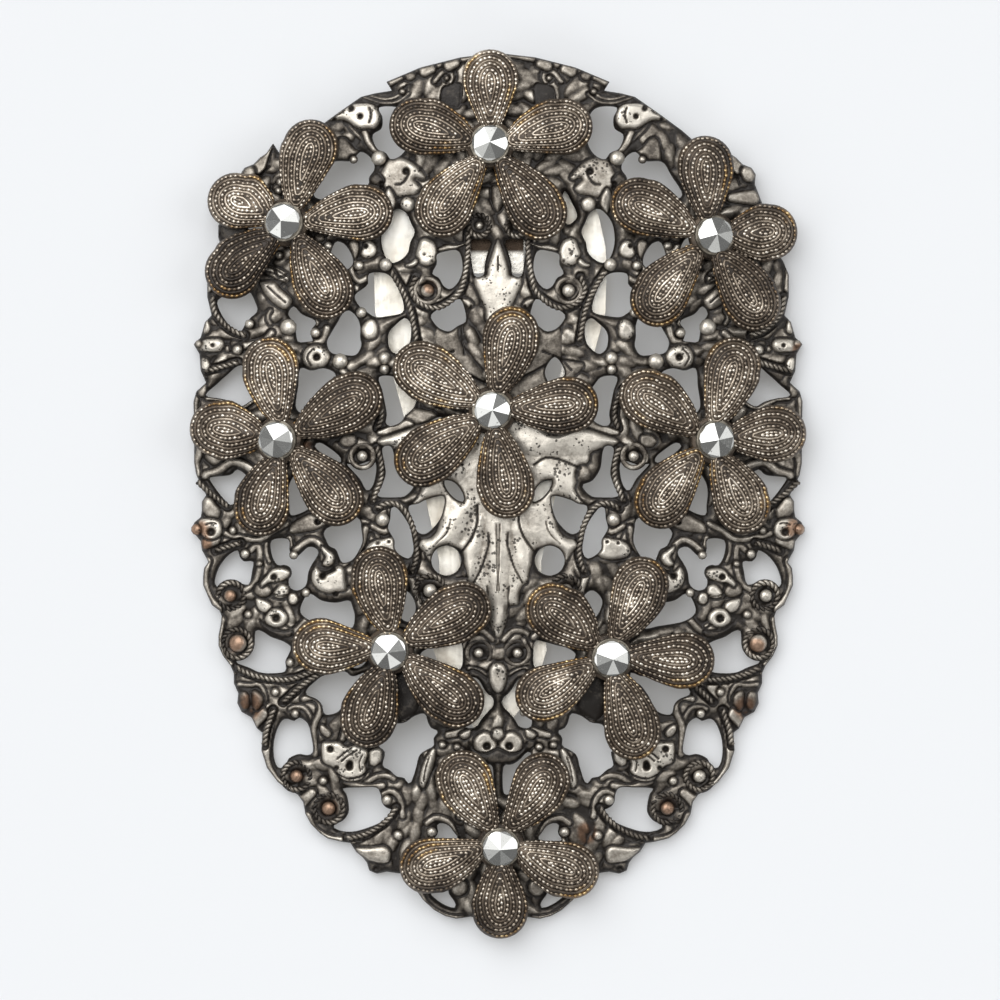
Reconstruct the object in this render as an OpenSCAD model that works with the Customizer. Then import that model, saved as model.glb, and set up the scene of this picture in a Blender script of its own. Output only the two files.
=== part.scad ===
// Dress clip: a domed, pierced plate with raised scrollwork, nine riveted
// five-petal flowers with faceted steel studs, and a sprung flap behind.
// The show face is up (+Z), the tip points to -Y and the hinge is at +Y.
// All sizes are in millimetres.

/* [Plate] */
// Height of the plate's middle surface above the table, at its crown
crown_z = 5.6; // [5.2:0.05:6.2]
// How far the middle surface falls from the centre line to the sides
side_drop = 4.8; // [4:0.1:5.4]
// How far the middle surface falls from the crown to the tip
end_drop = 5.15; // [4.5:0.05:5.6]
// Thickness of the pierced sheet
sheet_t = 1.1; // [0.9:0.05:1.2]
// Height of the scrolls, beads and leaves above the sheet
relief_h = 0.55; // [0.2:0.05:0.65]

/* [Flowers] */
// Radius of a petal's round end
petal_end_r = 2.42; // [2:0.02:2.6]
// Half width of a petal where it meets the hub
petal_root_w = 0.85; // [0.6:0.05:1.2]
// Height of a petal's side wall
petal_wall = 0.55; // [0.4:0.05:0.8]
// Extra height of a petal along its middle
petal_crown = 0.45; // [0.2:0.05:0.6]
// Height of the flowers above the plate's middle surface
flower_lift = 1.45; // [1.35:0.05:1.8]
// Radius of the round hub that joins the petals
hub_r = 2.2; // [1.9:0.05:2.4]

/* [Studs] */
// Diameter of a faceted steel head
stud_d = 3.4; // [3:0.1:3.8]
// Height of a faceted steel head
stud_h = 1.05; // [0.8:0.05:1.3]
// Radius of the collar under the head
collar_r = 2.0; // [1.9:0.05:2.1]
// Radius of the rivet shank
shank_r = 0.6; // [0.5:0.05:0.65]

/* [Flap and hinge] */
// Distance of the clip's own centre line from the plate's
clip_x = -0.7; // [-1:0.1:0]
// Thickness of the flap's sheet
flap_t = 0.7; // [0.5:0.05:0.8]
// Height of the flap's underside above the table
flap_z = 0.9; // [0.8:0.05:1.0]
// Distance of the hinge pin from the plate's middle, toward the top
pin_y = 33; // [32.8:0.1:33.4]
// Height of the hinge pin's axis above the table
pin_z = 1.3; // [1.3:0.05:1.4]
// Radius of the hinge pin
pin_r = 0.5; // [0.4:0.05:0.55]
// Radius of the flap's rolled knuckles
knuckle_r = 1.2; // [1.1:0.05:1.25]

/* [Hidden] */

// Half width and half length over which the two drops are measured
dome_half_w = 28;
dome_half_l = 50;
crown_y = 10;
// How far the flat faces of the sheet lie below the true dome at most
facet_sag = 0.22;

// Clearances: between stacked pieces, round a shank, and round the pin
piece_gap = 0.06;
bore_gap = 0.12;
ear_gap = 0.02;
knuckle_gap = 0.06;

// Half length of the cuts that make the shank holes
bore_reach = 3;
// Height of the hub above the petals' walls
hub_rise = 0.25;
// Collar under a faceted head, and the spread end of its rivet
collar_h = 0.35;
spread_h = 0.35;
spread_r = 0.95;
// Distance of a petal's root from its flower's centre
petal_root = 1.5;
// Radius of the boss under each flower
boss_r = 1.5;

// Bracket under the top flower: a base, two ears and a back wall
bracket_half_w = 7;
bracket_top = 3.15;
bracket_t = 0.5;
bracket_back = 35.8;
bracket_front = 30.2;
ear_t = 0.7;
ear_r = 1.3;
// How far the pin stands out of each ear
pin_end = 0.2;
spring_t = 0.35;
// Knuckles of the flap: distance from the clip's centre line, and length
knuckle_in = 2.7;
knuckle_long = 3.3;
// Where the straps of the knuckles start
strap_y = 30;
// Teeth of the flap
tooth_y = -20.45;
tooth_tip_z = 2.7;

steel = [0.80, 0.80, 0.78];
dark_silver = [0.33, 0.31, 0.29];
bronze_grey = [0.42, 0.38, 0.33];
nickel = [0.86, 0.82, 0.72];

// Each flower: x, y of its centre, then direction (from +X toward +Y) and
// length of its five petals
FLOWERS = [
    [ -0.7,  31.3, 90, 8.7, 164, 9.3, 233.5, 9.6, 306.5, 9.9, 15, 9.4],
    [-18.7,  24.4, 75, 9.6, 157, 7.9, 219, 9.2, 298, 9.4, 8, 9.3],
    [ 18.9,  23.2, 92, 9.1, 156, 9.4, 231, 9.7, 304.5, 9.7, 5, 8.1],
    [-19.3,   5.0, 100, 9.3, 171, 8.55, 252, 9, 312, 9.6, 29, 9.9],
    [ 19.0,   5.0, 72, 9.5, 146, 9.3, 232, 9.5, 297, 9.2, 5, 8.8],
    [ -0.5,   7.6, 76, 9.5, 150, 9.9, 215, 10.2, 280, 9.8, 4, 9.5],
    [ -9.5, -13.8, 100, 9.3, 178, 9, 251, 9.3, 321, 9.9, 29, 9.8],
    [  9.9, -14.4, 65, 9.5, 141, 8.9, 211, 9.3, 288, 9.8, 356, 9.6],
    [  0.2, -31.3, 119.5, 9.2, 198, 9.4, 270, 8.7, 338, 9.4, 56, 9.3],
];

// Right half of the plate's outline from the top to the tip: x, y
OUTLINE = [
    [ 0.0,  40.0], [ 3.4,  39.6], [ 7.0,  38.7], [10.1,  37.4], [ 9.6,  36.6],
    [11.0,  36.2], [12.4,  36.2], [14.6,  34.8], [17.2,  33.3], [18.9,  31.0],
    [20.4,  31.7], [21.5,  30.9], [22.9,  30.0], [23.9,  28.9], [24.4,  27.4],
    [25.4,  24.6], [26.4,  21.2], [26.4,  18.2], [25.9,  16.3], [26.8,  15.2],
    [27.7,  13.8], [27.2,  12.4], [26.5,  10.2], [27.5,   8.6], [27.7,   5.8],
    [27.4,   2.2], [26.5,   0.4], [26.7,  -1.6], [27.6,  -2.8], [26.9,  -4.2],
    [26.1,  -5.7], [26.8,  -7.4], [26.2,  -9.4], [25.1, -10.9], [25.4, -13.0],
    [24.6, -15.0], [23.9, -16.2], [24.0, -18.0], [23.4, -19.6], [22.0, -20.8],
    [21.5, -23.0], [20.6, -25.6], [17.9, -27.5], [17.2, -29.6], [15.4, -31.2],
    [13.0, -31.8], [11.9, -33.2], [10.6, -34.2], [ 8.7, -34.4], [ 7.4, -35.8],
    [ 5.8, -37.7], [ 3.6, -38.4], [ 0.0, -38.9],
];

// Gaps of the right half, repeated on the left: x, y, width, height,
// turn in degrees, and how much narrower the upper end is
GAPS = [
    [ 9.0,  32.9, 2.9, 4.4,   0,  0.0], [13.9,  28.6, 4.2, 3.2,  20,  0.2],
    [21.6,  23.7, 2.7, 2.1,   0,  0.0], [23.5,  16.8, 3.3, 3.6,  30,  0.0],
    [17.4,  14.9, 2.3, 2.7,   0,  0.0], [14.1,  21.7, 2.5, 3.1,  20,  0.0],
    [13.9,  15.0, 2.8, 4.2, -10,  0.1], [10.7,  17.7, 3.6, 3.7,  20,  0.1],
    [ 9.1,   8.6, 2.5, 4.0,   0,  0.0], [ 8.8,   1.6, 2.7, 4.4,   0, -0.1],
    [13.1,   0.9, 3.1, 3.2, -30,  0.2], [16.7,   9.3, 3.3, 3.8,  10,  0.0],
    [17.8,   0.4, 2.3, 3.9,   0,  0.2], [14.2,  -4.1, 3.8, 3.1,   0,  0.0],
    [ 9.1,  -3.9, 2.1, 4.9,   8,  0.1], [ 6.6,  -2.0, 2.7, 3.0,  20,  0.0],
    [ 4.2,   0.5, 1.5, 2.3, -35,  0.0], [ 4.6,  -5.9, 2.8, 3.1,   0,  0.0],
    [ 5.0, -14.7, 3.5, 3.1,  20,  0.1], [ 1.8, -18.7, 2.2, 4.3,   0,  0.0],
    [ 1.1, -10.6, 1.1, 1.8, -10, -0.2], [ 4.2,  20.3, 1.9, 3.6,  10, -0.1],
    [ 4.1,  16.0, 2.4, 2.6,   0,  0.1], [ 1.7,  21.0, 1.2, 2.8,   8, -0.2],
    [ 8.9,  14.0, 1.7, 2.7,   0,  0.2], [ 8.9,  23.4, 2.6, 3.6, -20,  0.1],
    [18.3,  -6.0, 3.2, 4.2, -15,  0.0], [23.9,  -6.9, 3.3, 3.4, -20,  0.1],
    [20.4, -14.2, 3.7, 3.1,  30,  0.1], [15.3, -10.9, 4.0, 2.2,   0,  0.0],
    [15.5, -18.6, 3.7, 2.8,  10,  0.0], [18.6, -22.3, 3.1, 5.2,   8,  0.1],
    [12.0, -28.3, 5.3, 3.2,  15,  0.1], [ 7.7, -22.5, 3.7, 6.1, -10,  0.2],
    [ 4.7, -30.3, 2.2, 2.0,   0,  0.0], [ 5.0, -36.3, 2.5, 1.7,  15,  0.0],
    [23.8,   9.5, 3.3, 2.7,  35,  0.0], [23.8,   0.9, 3.3, 2.7, -35,  0.0],
    [ 1.6, -25.0, 1.4, 3.8, -30,  0.0], [ 9.4,  -9.1, 2.0, 3.2,   0,  0.0],
    [17.1,  22.0, 1.5, 2.6,  20,  0.0], [ 6.4,  25.8, 1.3, 3.0,   5,  0.0],
    [15.2,   5.2, 2.0, 3.0,   0,  0.0], [ 5.1,  11.0, 1.8, 2.8,  25,  0.0],
    [21.4,  13.0, 2.4, 1.8,   0,  0.0], [12.8, -14.9, 1.8, 2.6,  10,  0.0],
    [21.2,  -2.3, 2.2, 1.7, -20,  0.0], [ 5.2,   6.2, 1.6, 2.4,  80,  0.0],
];

// Scroll eyes of the right half: x, y, radius
EYES = [
    [24.4,  -9.3, 1.25], [23.6, -13.3, 1.35], [18.1, -25.6, 1.35], [15.3, -28.4, 1.4],
    [ 6.1,  18.6, 1.4],  [ 1.8, -14.2, 1.05], [ 1.5,  24.3, 0.95], [ 6.6,  -8.5, 1.25],
    [ 4.5,  37.6, 0.9],  [ 6.2, -30.2, 0.9],  [ 9.6, -27.4, 0.9],  [12.3,   3.6, 1.15],
    [16.1,  12.4, 1.15], [10.4,  -2.2, 0.95], [10.2,  12.1, 0.95],
];

// Beads of the right half: x, y, radius
BEADS = [
    [10.6,  30.5, 0.8],  [16.0,  23.4, 0.6],  [22.4,  15.0, 0.65], [16.2,  16.6, 0.55],
    [12.4,  20.2, 0.7],  [12.2,  16.2, 0.6],  [ 9.7,  20.6, 0.65], [14.2,  12.1, 0.8],
    [22.4,  -4.6, 0.75], [18.3,  -3.6, 0.6],  [22.5, -11.2, 0.6],  [18.3, -15.3, 0.65],
    [18.2, -19.6, 0.6],  [15.6, -25.9, 0.65], [ 9.0, -31.0, 0.6],  [ 4.4, -22.7, 0.6],
];

// Leaves and pods of the right half, each between two rounds:
// x, y, radius, then x, y, radius of the other end
LEAVES = [
    [27.0,  13.6, 0.6, 25.6,  13.4, 1.2], [26.5,  15.4, 0.5, 26.3,  11.2, 0.6],
    [27.1,  -3.0, 0.6, 25.7,  -2.8, 1.1], [26.4,  -0.6, 0.5, 26.2,  -4.8, 0.5],
    [23.2, -19.0, 0.8, 21.8, -18.4, 1.1], [23.5, -16.8, 0.5, 21.6, -20.6, 0.6],
    [11.4, -33.3, 0.7, 10.0, -32.4, 1.1], [12.6, -31.9, 0.5,  9.0, -33.6, 0.7],
    [20.9,  -7.8, 1.0, 20.0, -10.9, 1.3], [14.8, -22.8, 1.2, 13.0, -24.4, 1.3],
    [10.9, -23.4, 0.8, 13.0, -24.6, 1.0], [15.3,  -6.4, 0.8, 14.6,  -8.4, 1.2],
    [20.3,  19.4, 1.2, 19.4,  17.1, 1.1], [13.0,  34.9, 1.2, 11.6,  33.9, 1.1],
    [13.9,  31.4, 1.3, 12.0,  32.4, 0.7], [10.2,  28.4, 1.2,  8.0,  28.0, 1.2],
    [20.4,  31.0, 0.5, 20.9,  30.0, 0.9], [22.8,  28.8, 0.9, 20.9,  28.6, 1.0],
    [11.3,  14.7, 1.0, 10.6,  13.7, 0.8], [11.8,  22.6, 1.1, 10.9,  21.6, 0.7],
    [ 6.6,  22.6, 1.1,  7.9,  21.2, 0.7], [10.6,   5.2, 0.4,  7.4,   5.2, 1.2],
    [10.9,  -4.4, 1.1, 11.7,  -3.0, 0.6], [ 6.0,  -0.1, 0.8,  3.6,  -3.0, 1.4],
    [ 6.0,  -4.6, 0.8,  2.9,  -8.6, 1.0], [ 1.5, -16.4, 0.6,  0.4, -15.8, 0.9],
    [ 6.1, -26.4, 0.9,  5.4, -24.9, 0.8], [ 2.7, -35.6, 1.0,  3.6, -37.0, 0.7],
];

// Pods on the centre line, between two rounds: y and radius of each
CENTRE_LEAVES = [
    [22.8, 0.3,  18.6, 1.6], [13.4, 1.7,  17.0, 1.2], [ -2.0, 2.4,  3.0, 2.0],
    [-3.0, 2.2, -12.6, 0.5], [-20.2, 0.9, -22.4, 1.4], [28.6, 0.6,  26.4, 0.8],
];

// Roped wires of the right half, each a row of x, y points
ROPES = [
    [[26.0,  18.4], [25.3,  16.6], [24.0,  14.9], [22.4,  14.0]],
    [[26.5,   9.9], [27.2,   7.2], [27.1,   3.4], [26.3,   0.6]],
    [[22.8,  -3.8], [25.2,  -5.1], [26.2,  -7.3], [25.6,  -9.8]],
    [[25.0, -11.4], [24.9, -13.6], [23.4, -16.0], [20.0, -17.0], [16.4, -15.8]],
    [[18.0, -16.6], [20.4, -19.0], [21.1, -22.6], [19.9, -25.6]],
    [[17.4, -27.8], [16.2, -30.2], [12.8, -31.1], [ 9.8, -30.0], [ 7.8, -27.2]],
    [[ 7.2,  13.8], [ 7.7,  16.0], [ 8.6,  18.4], [10.0,  20.2]],
    [[ 6.0,  17.2], [ 3.6,  18.2], [ 2.8,  20.8], [ 3.2,  23.6]],
    [[11.2,   4.2], [10.4,   2.6], [10.5,   0.8], [11.2,  -0.7]],
    [[10.6,  -1.1], [ 8.8,  -1.0], [ 7.5,  -3.6], [ 7.8,  -7.0]],
    [[11.9,  10.9], [10.6,   9.4], [10.5,   7.6], [11.0,   6.2]],
    [[ 9.4,  36.4], [ 7.4,  35.8], [ 5.8,  36.4], [ 4.4,  36.6]],
];

// Flap outline: y, outer half width, inner half width (0 where it is solid)
FLAP = [
    [ 30.4,  6.2, 0.0], [ 28.6,  8.2, 0.0], [ 25.2,  9.8, 0.0], [ 22.4, 10.4, 6.4],
    [ 20.6, 10.5, 7.3], [ 16.5, 10.4, 7.3], [  9.0,  8.3, 6.0], [  0.0,  5.9, 4.0],
    [ -6.0,  4.6, 2.7], [-10.0,  4.6, 2.4], [-14.0,  5.1, 2.5], [-17.5,  4.0, 1.7],
    [-19.3,  2.7, 0.0], [-20.1,  2.1, 0.0], [-21.1,  1.4, 0.0],
];

// Spring leaf in side view, lower face: y, z
SPRING = [[34.2, 2.15], [30.2, 2.15], [26.2, 1.75], [20.0, 1.72]];
// Its outline from above: x, y. The root passes between the flap's knuckles.
SPRING_PLAN = [
    [-3.0, 35.0], [-3.0, 28.0], [-2.45, 26.0], [-2.45, 20.8], [-2.1, 19.9],
    [ 2.3, 19.9], [ 2.3, 26.0], [ 1.6, 28.0], [ 1.6, 35.0],
];

// Depth from the dome's middle surface down to a rivet's spread end. The top
// rivet also holds the bracket and the spring leaf, which lie level.
stud_grip = sheet_t / 2 + facet_sag + piece_gap;
top_stud_grip = dome_z(FLOWERS[0][0], FLOWERS[0][1]) - SPRING[0][1]
    + piece_gap + spread_r * abs(slope_y(FLOWERS[0][1]));

function dome_z(x, y) = crown_z - side_drop * pow(x / dome_half_w, 2)
    - end_drop * pow((y - crown_y) / dome_half_l, 2);

// Slopes of the dome along X and Y
function slope_x(x) = -2 * side_drop * x / pow(dome_half_w, 2);
function slope_y(y) = -2 * end_drop * (y - crown_y) / pow(dome_half_l, 2);

// Stands its children on the dome's middle surface, along its normal
module on_dome(x, y) {
    lean_y = atan(-slope_x(x));
    lean_x = atan(slope_y(y) * cos(lean_y));
    translate([x, y, dome_z(x, y)]) rotate([lean_x, lean_y, 0]) children();
}

// Repeats its children on the left half
module both_sides() {
    children();
    mirror([1, 0, 0]) children();
}

// Triangles of a closed skin over rings of equal size, joined end to end
function skin_faces(rings, size) = concat(
    [for (i = [0 : rings - 2], j = [0 : size - 1])
        [i * size + j, (i + 1) * size + (j + 1) % size, i * size + (j + 1) % size]],
    [for (i = [0 : rings - 2], j = [0 : size - 1])
        [i * size + j, (i + 1) * size + j, (i + 1) * size + (j + 1) % size]],
    [for (j = [1 : size - 2]) [0, j, j + 1]],
    [for (j = [1 : size - 2])
        [(rings - 1) * size, (rings - 1) * size + j + 1, (rings - 1) * size + j]]);

// A coarse domed slab as thick as the sheet, larger than the plate
module dome_slab() {
    cols = 6;
    rows = 8;
    reach_x = 30;
    reach_y = 42;
    function grid_x(i) = reach_x * (2 * i / cols - 1);
    function grid_y(j) = reach_y * (2 * j / rows - 1);
    function grid_point(i, j, h) = [grid_x(i), grid_y(j), dome_z(grid_x(i), grid_y(j)) + h];
    count = (cols + 1) * (rows + 1);
    function at(i, j, top) = top * count + j * (cols + 1) + i;
    points = concat(
        [for (j = [0 : rows], i = [0 : cols]) grid_point(i, j, -sheet_t / 2)],
        [for (j = [0 : rows], i = [0 : cols]) grid_point(i, j, sheet_t / 2)]);
    function quad(a, b, c, d) = [[a, b, c], [a, c, d]];
    faces = concat(
        [for (j = [0 : rows - 1], i = [0 : cols - 1])
            each quad(at(i, j, 0), at(i + 1, j, 0), at(i + 1, j + 1, 0), at(i, j + 1, 0))],
        [for (j = [0 : rows - 1], i = [0 : cols - 1])
            each quad(at(i, j, 1), at(i, j + 1, 1), at(i + 1, j + 1, 1), at(i + 1, j, 1))],
        [for (i = [0 : cols - 1])
            each quad(at(i, 0, 0), at(i, 0, 1), at(i + 1, 0, 1), at(i + 1, 0, 0))],
        [for (i = [0 : cols - 1])
            each quad(at(i, rows, 0), at(i + 1, rows, 0), at(i + 1, rows, 1), at(i, rows, 1))],
        [for (j = [0 : rows - 1])
            each quad(at(0, j, 0), at(0, j + 1, 0), at(0, j + 1, 1), at(0, j, 1))],
        [for (j = [0 : rows - 1])
            each quad(at(cols, j, 0), at(cols, j, 1), at(cols, j + 1, 1), at(cols, j + 1, 0))]);
    polyhedron(points, faces);
}

// One gap: an egg with flattened sides, or a lozenge with cut ends if it is small
module gap_shape(wide, tall, egg) {
    small = 6;
    sides = wide * tall > small ? 8 : 6;
    squareness = 0.85;
    function swell(v) = sign(v) * pow(abs(v), squareness);
    polygon([for (i = [0 : sides - 1]) let (a = 360 * (i + 0.5) / sides)
        [wide / 2 * swell(cos(a)) * (1 - egg * sin(a)), tall / 2 * swell(sin(a))]]);
}

module pierced_pattern() {
    left_half = [for (i = [len(OUTLINE) - 2 : -1 : 1]) [-OUTLINE[i][0], OUTLINE[i][1]]];
    difference() {
        polygon(concat(OUTLINE, left_half));
        both_sides() for (g = GAPS)
            translate([g[0], g[1]]) rotate(g[4]) gap_shape(g[2], g[3], g[5]);
    }
}

// A raised round that starts inside the sheet
module raised_round(x, y, r, h, top_share) {
    foot = 0.2;
    sides = r < 1.1 ? 5 : 6;
    translate([x, y, dome_z(x, y) - foot])
        cylinder(h = foot + sheet_t / 2 + h, r1 = r, r2 = r * top_share, $fn = sides);
}

module bead(x, y, r) {
    raised_round(x, y, r, min(relief_h, r), 0.45);
}

// A scroll eye: a low disc with a bead in its middle, or a bead where it is small
module eye(x, y, r) {
    if (r > 1) {
        raised_round(x, y, r, relief_h * 0.4, 0.85);
        bead(x, y, r * 0.5);
    } else {
        bead(x, y, r * 0.8);
    }
}

module leaf(x1, y1, r1, x2, y2, r2) {
    hull() {
        raised_round(x1, y1, r1, relief_h * 0.8, 0.5);
        raised_round(x2, y2, r2, relief_h, 0.5);
    }
}

// A roped wire: a ridge swept along its points
module rope(path) {
    last = len(path) - 1;
    half_foot = 0.42;
    half_top = 0.22;
    foot_z = -0.1;
    top_z = sheet_t / 2 + relief_h * 0.8;
    function heading(i) = path[min(i + 1, last)] - path[max(i - 1, 0)];
    function side(i) = let (d = heading(i)) [-d[1], d[0]] / norm(d);
    function corner(i, across, h) = let (p = path[i] + side(i) * across)
        [p[0], p[1], dome_z(path[i][0], path[i][1]) + h];
    points = [for (i = [0 : last]) each [
        corner(i, -half_foot, foot_z), corner(i, half_foot, foot_z),
        corner(i, half_top, top_z), corner(i, -half_top, top_z)]];
    polyhedron(points, skin_faces(last + 1, 4));
}

// Raised boss that carries a flower
module boss(x, y) {
    on_dome(x, y) cylinder(h = flower_lift - piece_gap, r = boss_r, $fn = 8);
}

// Cut for a rivet's shank, through whatever lies along it
module shank_bore(x, y, gap, facets = 32) {
    on_dome(x, y) cylinder(h = 2 * bore_reach, r = shank_r + gap, center = true, $fn = facets);
}

module filigree_plate() {
    color(dark_silver) difference() {
        union() {
            intersection() {
                dome_slab();
                linear_extrude(height = crown_z + sheet_t) pierced_pattern();
            }
            both_sides() {
                for (e = EYES) eye(e[0], e[1], e[2]);
                for (b = BEADS) bead(b[0], b[1], b[2]);
                for (l = LEAVES) leaf(l[0], l[1], l[2], l[3], l[4], l[5]);
                for (r = ROPES) rope(r);
            }
            for (c = CENTRE_LEAVES) leaf(0, c[0], c[1], 0, c[2], c[3]);
            for (f = FLOWERS) boss(f[0], f[1]);
        }
        for (f = FLOWERS) shank_bore(f[0], f[1], 1.5 * bore_gap, 8);
    }
}

// Stations of a petal from root to tip: distance, half width
function petal_stations(long) = let (end_centre = long - petal_end_r) concat(
    [[petal_root, petal_root_w],
     [end_centre * 0.6, petal_root_w + (petal_end_r - petal_root_w) * 0.56]],
    [for (a = [8, 44, 76]) [end_centre + petal_end_r * sin(a), petal_end_r * cos(a)]]);

// Section of a petal: across and up, as shares of half width and crown
PETAL_SECTION = [[-1, 0, 0], [1, 0, 0], [1, 1, 0], [0.55, 1, 0.85], [-0.55, 1, 0.85], [-1, 1, 0]];

// One crowned petal that follows the dome at the flowers' height
module petal(cx, cy, turn, long) {
    stations = petal_stations(long);
    points = [for (s = stations, p = PETAL_SECTION) let (
            across = s[1] * p[0],
            x = cx + s[0] * cos(turn) - across * sin(turn),
            y = cy + s[0] * sin(turn) + across * cos(turn),
            up = petal_wall * p[1] + petal_crown * p[2] * s[1] / petal_end_r)
        [x, y, dome_z(x, y) + flower_lift + up]];
    polyhedron(points, skin_faces(len(stations), len(PETAL_SECTION)));
}

module flower(i) {
    f = FLOWERS[i];
    color(bronze_grey) difference() {
        union() {
            for (k = [2 : 2 : 10]) petal(f[0], f[1], f[k], f[k + 1]);
            on_dome(f[0], f[1]) translate([0, 0, flower_lift])
                cylinder(h = petal_wall + hub_rise, r = hub_r, $fn = 48);
        }
        shank_bore(f[0], f[1], bore_gap);
    }
}

// Faceted head: a small table, six large facets and twelve small ones
module faceted_head() {
    r = stud_d / 2;
    sides = 6;
    function ring(n, radius, z, start) =
        [for (i = [0 : n - 1]) [radius * cos(start + 360 * i / n), radius * sin(start + 360 * i / n), z]];
    points = concat(
        ring(sides, r * 0.14, stud_h, 0),
        ring(sides, r * 0.86, stud_h * 0.45, 0),
        ring(2 * sides, r, stud_h * 0.22, 0),
        ring(2 * sides, r, 0, 0));
    crown = sides;
    girdle = 2 * sides;
    base = 4 * sides;
    faces = concat(
        [[for (i = [sides - 1 : -1 : 0]) i]],
        [for (i = [0 : sides - 1]) [i, (i + 1) % sides, crown + (i + 1) % sides]],
        [for (i = [0 : sides - 1]) [i, crown + (i + 1) % sides, crown + i]],
        [for (i = [0 : sides - 1])
            [crown + i, girdle + 2 * i + 1, girdle + 2 * i]],
        [for (i = [0 : sides - 1])
            [crown + i, crown + (i + 1) % sides, girdle + 2 * i + 1]],
        [for (i = [0 : sides - 1])
            [crown + (i + 1) % sides, girdle + (2 * i + 2) % (2 * sides), girdle + 2 * i + 1]],
        [for (i = [0 : 2 * sides - 1])
            [girdle + i, girdle + (i + 1) % (2 * sides), base + (i + 1) % (2 * sides), base + i]],
        [[for (i = [0 : 2 * sides - 1]) base + i]]);
    polyhedron(points, faces);
}

// A stud: faceted head, collar, rivet shank and its spread end
module stud(i) {
    f = FLOWERS[i];
    seat = flower_lift + petal_wall + hub_rise + piece_gap;
    sunk = 0.05;
    foot = -(i == 0 ? top_stud_grip : stud_grip) - spread_h;
    color(steel) on_dome(f[0], f[1]) union() {
        translate([0, 0, seat + collar_h - sunk]) rotate(20 * i) faceted_head();
        translate([0, 0, seat]) cylinder(h = collar_h, r = collar_r, $fn = 48);
        translate([0, 0, foot]) cylinder(h = seat + collar_h / 2 - foot, r = shank_r, $fn = 32);
        translate([0, 0, foot]) cylinder(h = spread_h, r = spread_r, $fn = 32);
    }
}

module ear(x) {
    translate([x, 0, 0]) rotate([90, 0, 90]) linear_extrude(height = ear_t) difference() {
        union() {
            translate([pin_y, pin_z]) circle(r = ear_r, $fn = 48);
            translate([pin_y - ear_r, pin_z]) square([2 * ear_r, bracket_top - pin_z]);
        }
        translate([pin_y, pin_z]) circle(r = pin_r + ear_gap, $fn = 48);
    }
}

module clip_bracket() {
    color(dark_silver) difference() {
        union() {
            translate([clip_x - bracket_half_w, bracket_front, bracket_top - bracket_t])
                cube([2 * bracket_half_w, bracket_back - bracket_front, bracket_t]);
            translate([clip_x - bracket_half_w, bracket_back - bracket_t, pin_z])
                cube([2 * bracket_half_w, bracket_t, bracket_top - pin_z]);
            ear(clip_x - bracket_half_w);
            ear(clip_x + bracket_half_w - ear_t);
        }
        shank_bore(FLOWERS[0][0], FLOWERS[0][1], bore_gap);
    }
}

module hinge_pin() {
    color(steel) translate([clip_x, pin_y, pin_z]) rotate([0, 90, 0])
        cylinder(h = 2 * (bracket_half_w + pin_end), r = pin_r, center = true, $fn = 32);
}

module spring_leaf() {
    reach = 4;
    color(steel) difference() {
        intersection() {
            translate([-reach, 0, 0]) rotate([90, 0, 90]) linear_extrude(height = 2 * reach)
                polygon(concat(SPRING, [for (i = [len(SPRING) - 1 : -1 : 0])
                    SPRING[i] + [0, spring_t]]));
            linear_extrude(height = reach) polygon(SPRING_PLAN);
        }
        shank_bore(FLOWERS[0][0], FLOWERS[0][1], bore_gap);
    }
}

// One rolled knuckle of the flap, with the strap that joins it
module knuckle(x) {
    translate([x, pin_y, pin_z]) rotate([0, 90, 0])
        cylinder(h = knuckle_long, r = knuckle_r, $fn = 48);
    translate([x, strap_y, flap_z]) cube([knuckle_long, pin_y - strap_y, flap_t]);
}

module flap_outline() {
    solid = [for (f = FLAP) [f[1], f[0]]];
    mirrored = [for (i = [len(FLAP) - 1 : -1 : 0]) [-FLAP[i][1], FLAP[i][0]]];
    open_rows = [for (f = FLAP) if (f[2] > 0) f];
    inner = [for (f = open_rows) [f[2], f[0]]];
    inner_mirrored = [for (i = [len(open_rows) - 1 : -1 : 0]) [-open_rows[i][2], open_rows[i][0]]];
    difference() {
        polygon(concat(solid, mirrored));
        polygon(concat(inner, inner_mirrored));
    }
}

// Teeth that stand up from the flap's free end and grip the cloth
module teeth() {
    foot_w = 0.5;
    tip_w = 0.15;
    pitch = 0.65;
    aside = 0.25;
    shoulder = flap_t + 0.2;
    tip = tooth_tip_z - flap_z;
    for (i = [-1.5 : 1 : 1.5])
        translate([aside + i * pitch, tooth_y, flap_z]) rotate([90, 0, 0]) linear_extrude(height = 0.5)
            polygon([[-foot_w / 2, 0], [foot_w / 2, 0], [foot_w / 2, shoulder],
                     [tip_w / 2, tip], [-tip_w / 2, tip], [-foot_w / 2, shoulder]]);
}

module clip_flap() {
    color(nickel) difference() {
        union() {
            translate([clip_x, 0, flap_z]) linear_extrude(height = flap_t) flap_outline();
            knuckle(clip_x + knuckle_in);
            knuckle(clip_x - knuckle_in - knuckle_long);
            translate([clip_x, 0, 0]) teeth();
        }
        translate([clip_x, pin_y, pin_z]) rotate([0, 90, 0])
            cylinder(h = 2 * bracket_half_w, r = pin_r + knuckle_gap, center = true, $fn = 32);
    }
}

filigree_plate();
flower(0);  // flower_1
flower(1);  // flower_2
flower(2);  // flower_3
flower(3);  // flower_4
flower(4);  // flower_5
flower(5);  // flower_6
flower(6);  // flower_7
flower(7);  // flower_8
flower(8);  // flower_9
stud(0);  // stud_1
stud(1);  // stud_2
stud(2);  // stud_3
stud(3);  // stud_4
stud(4);  // stud_5
stud(5);  // stud_6
stud(6);  // stud_7
stud(7);  // stud_8
stud(8);  // stud_9
clip_bracket();
hinge_pin();
spring_leaf();
clip_flap();
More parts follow.
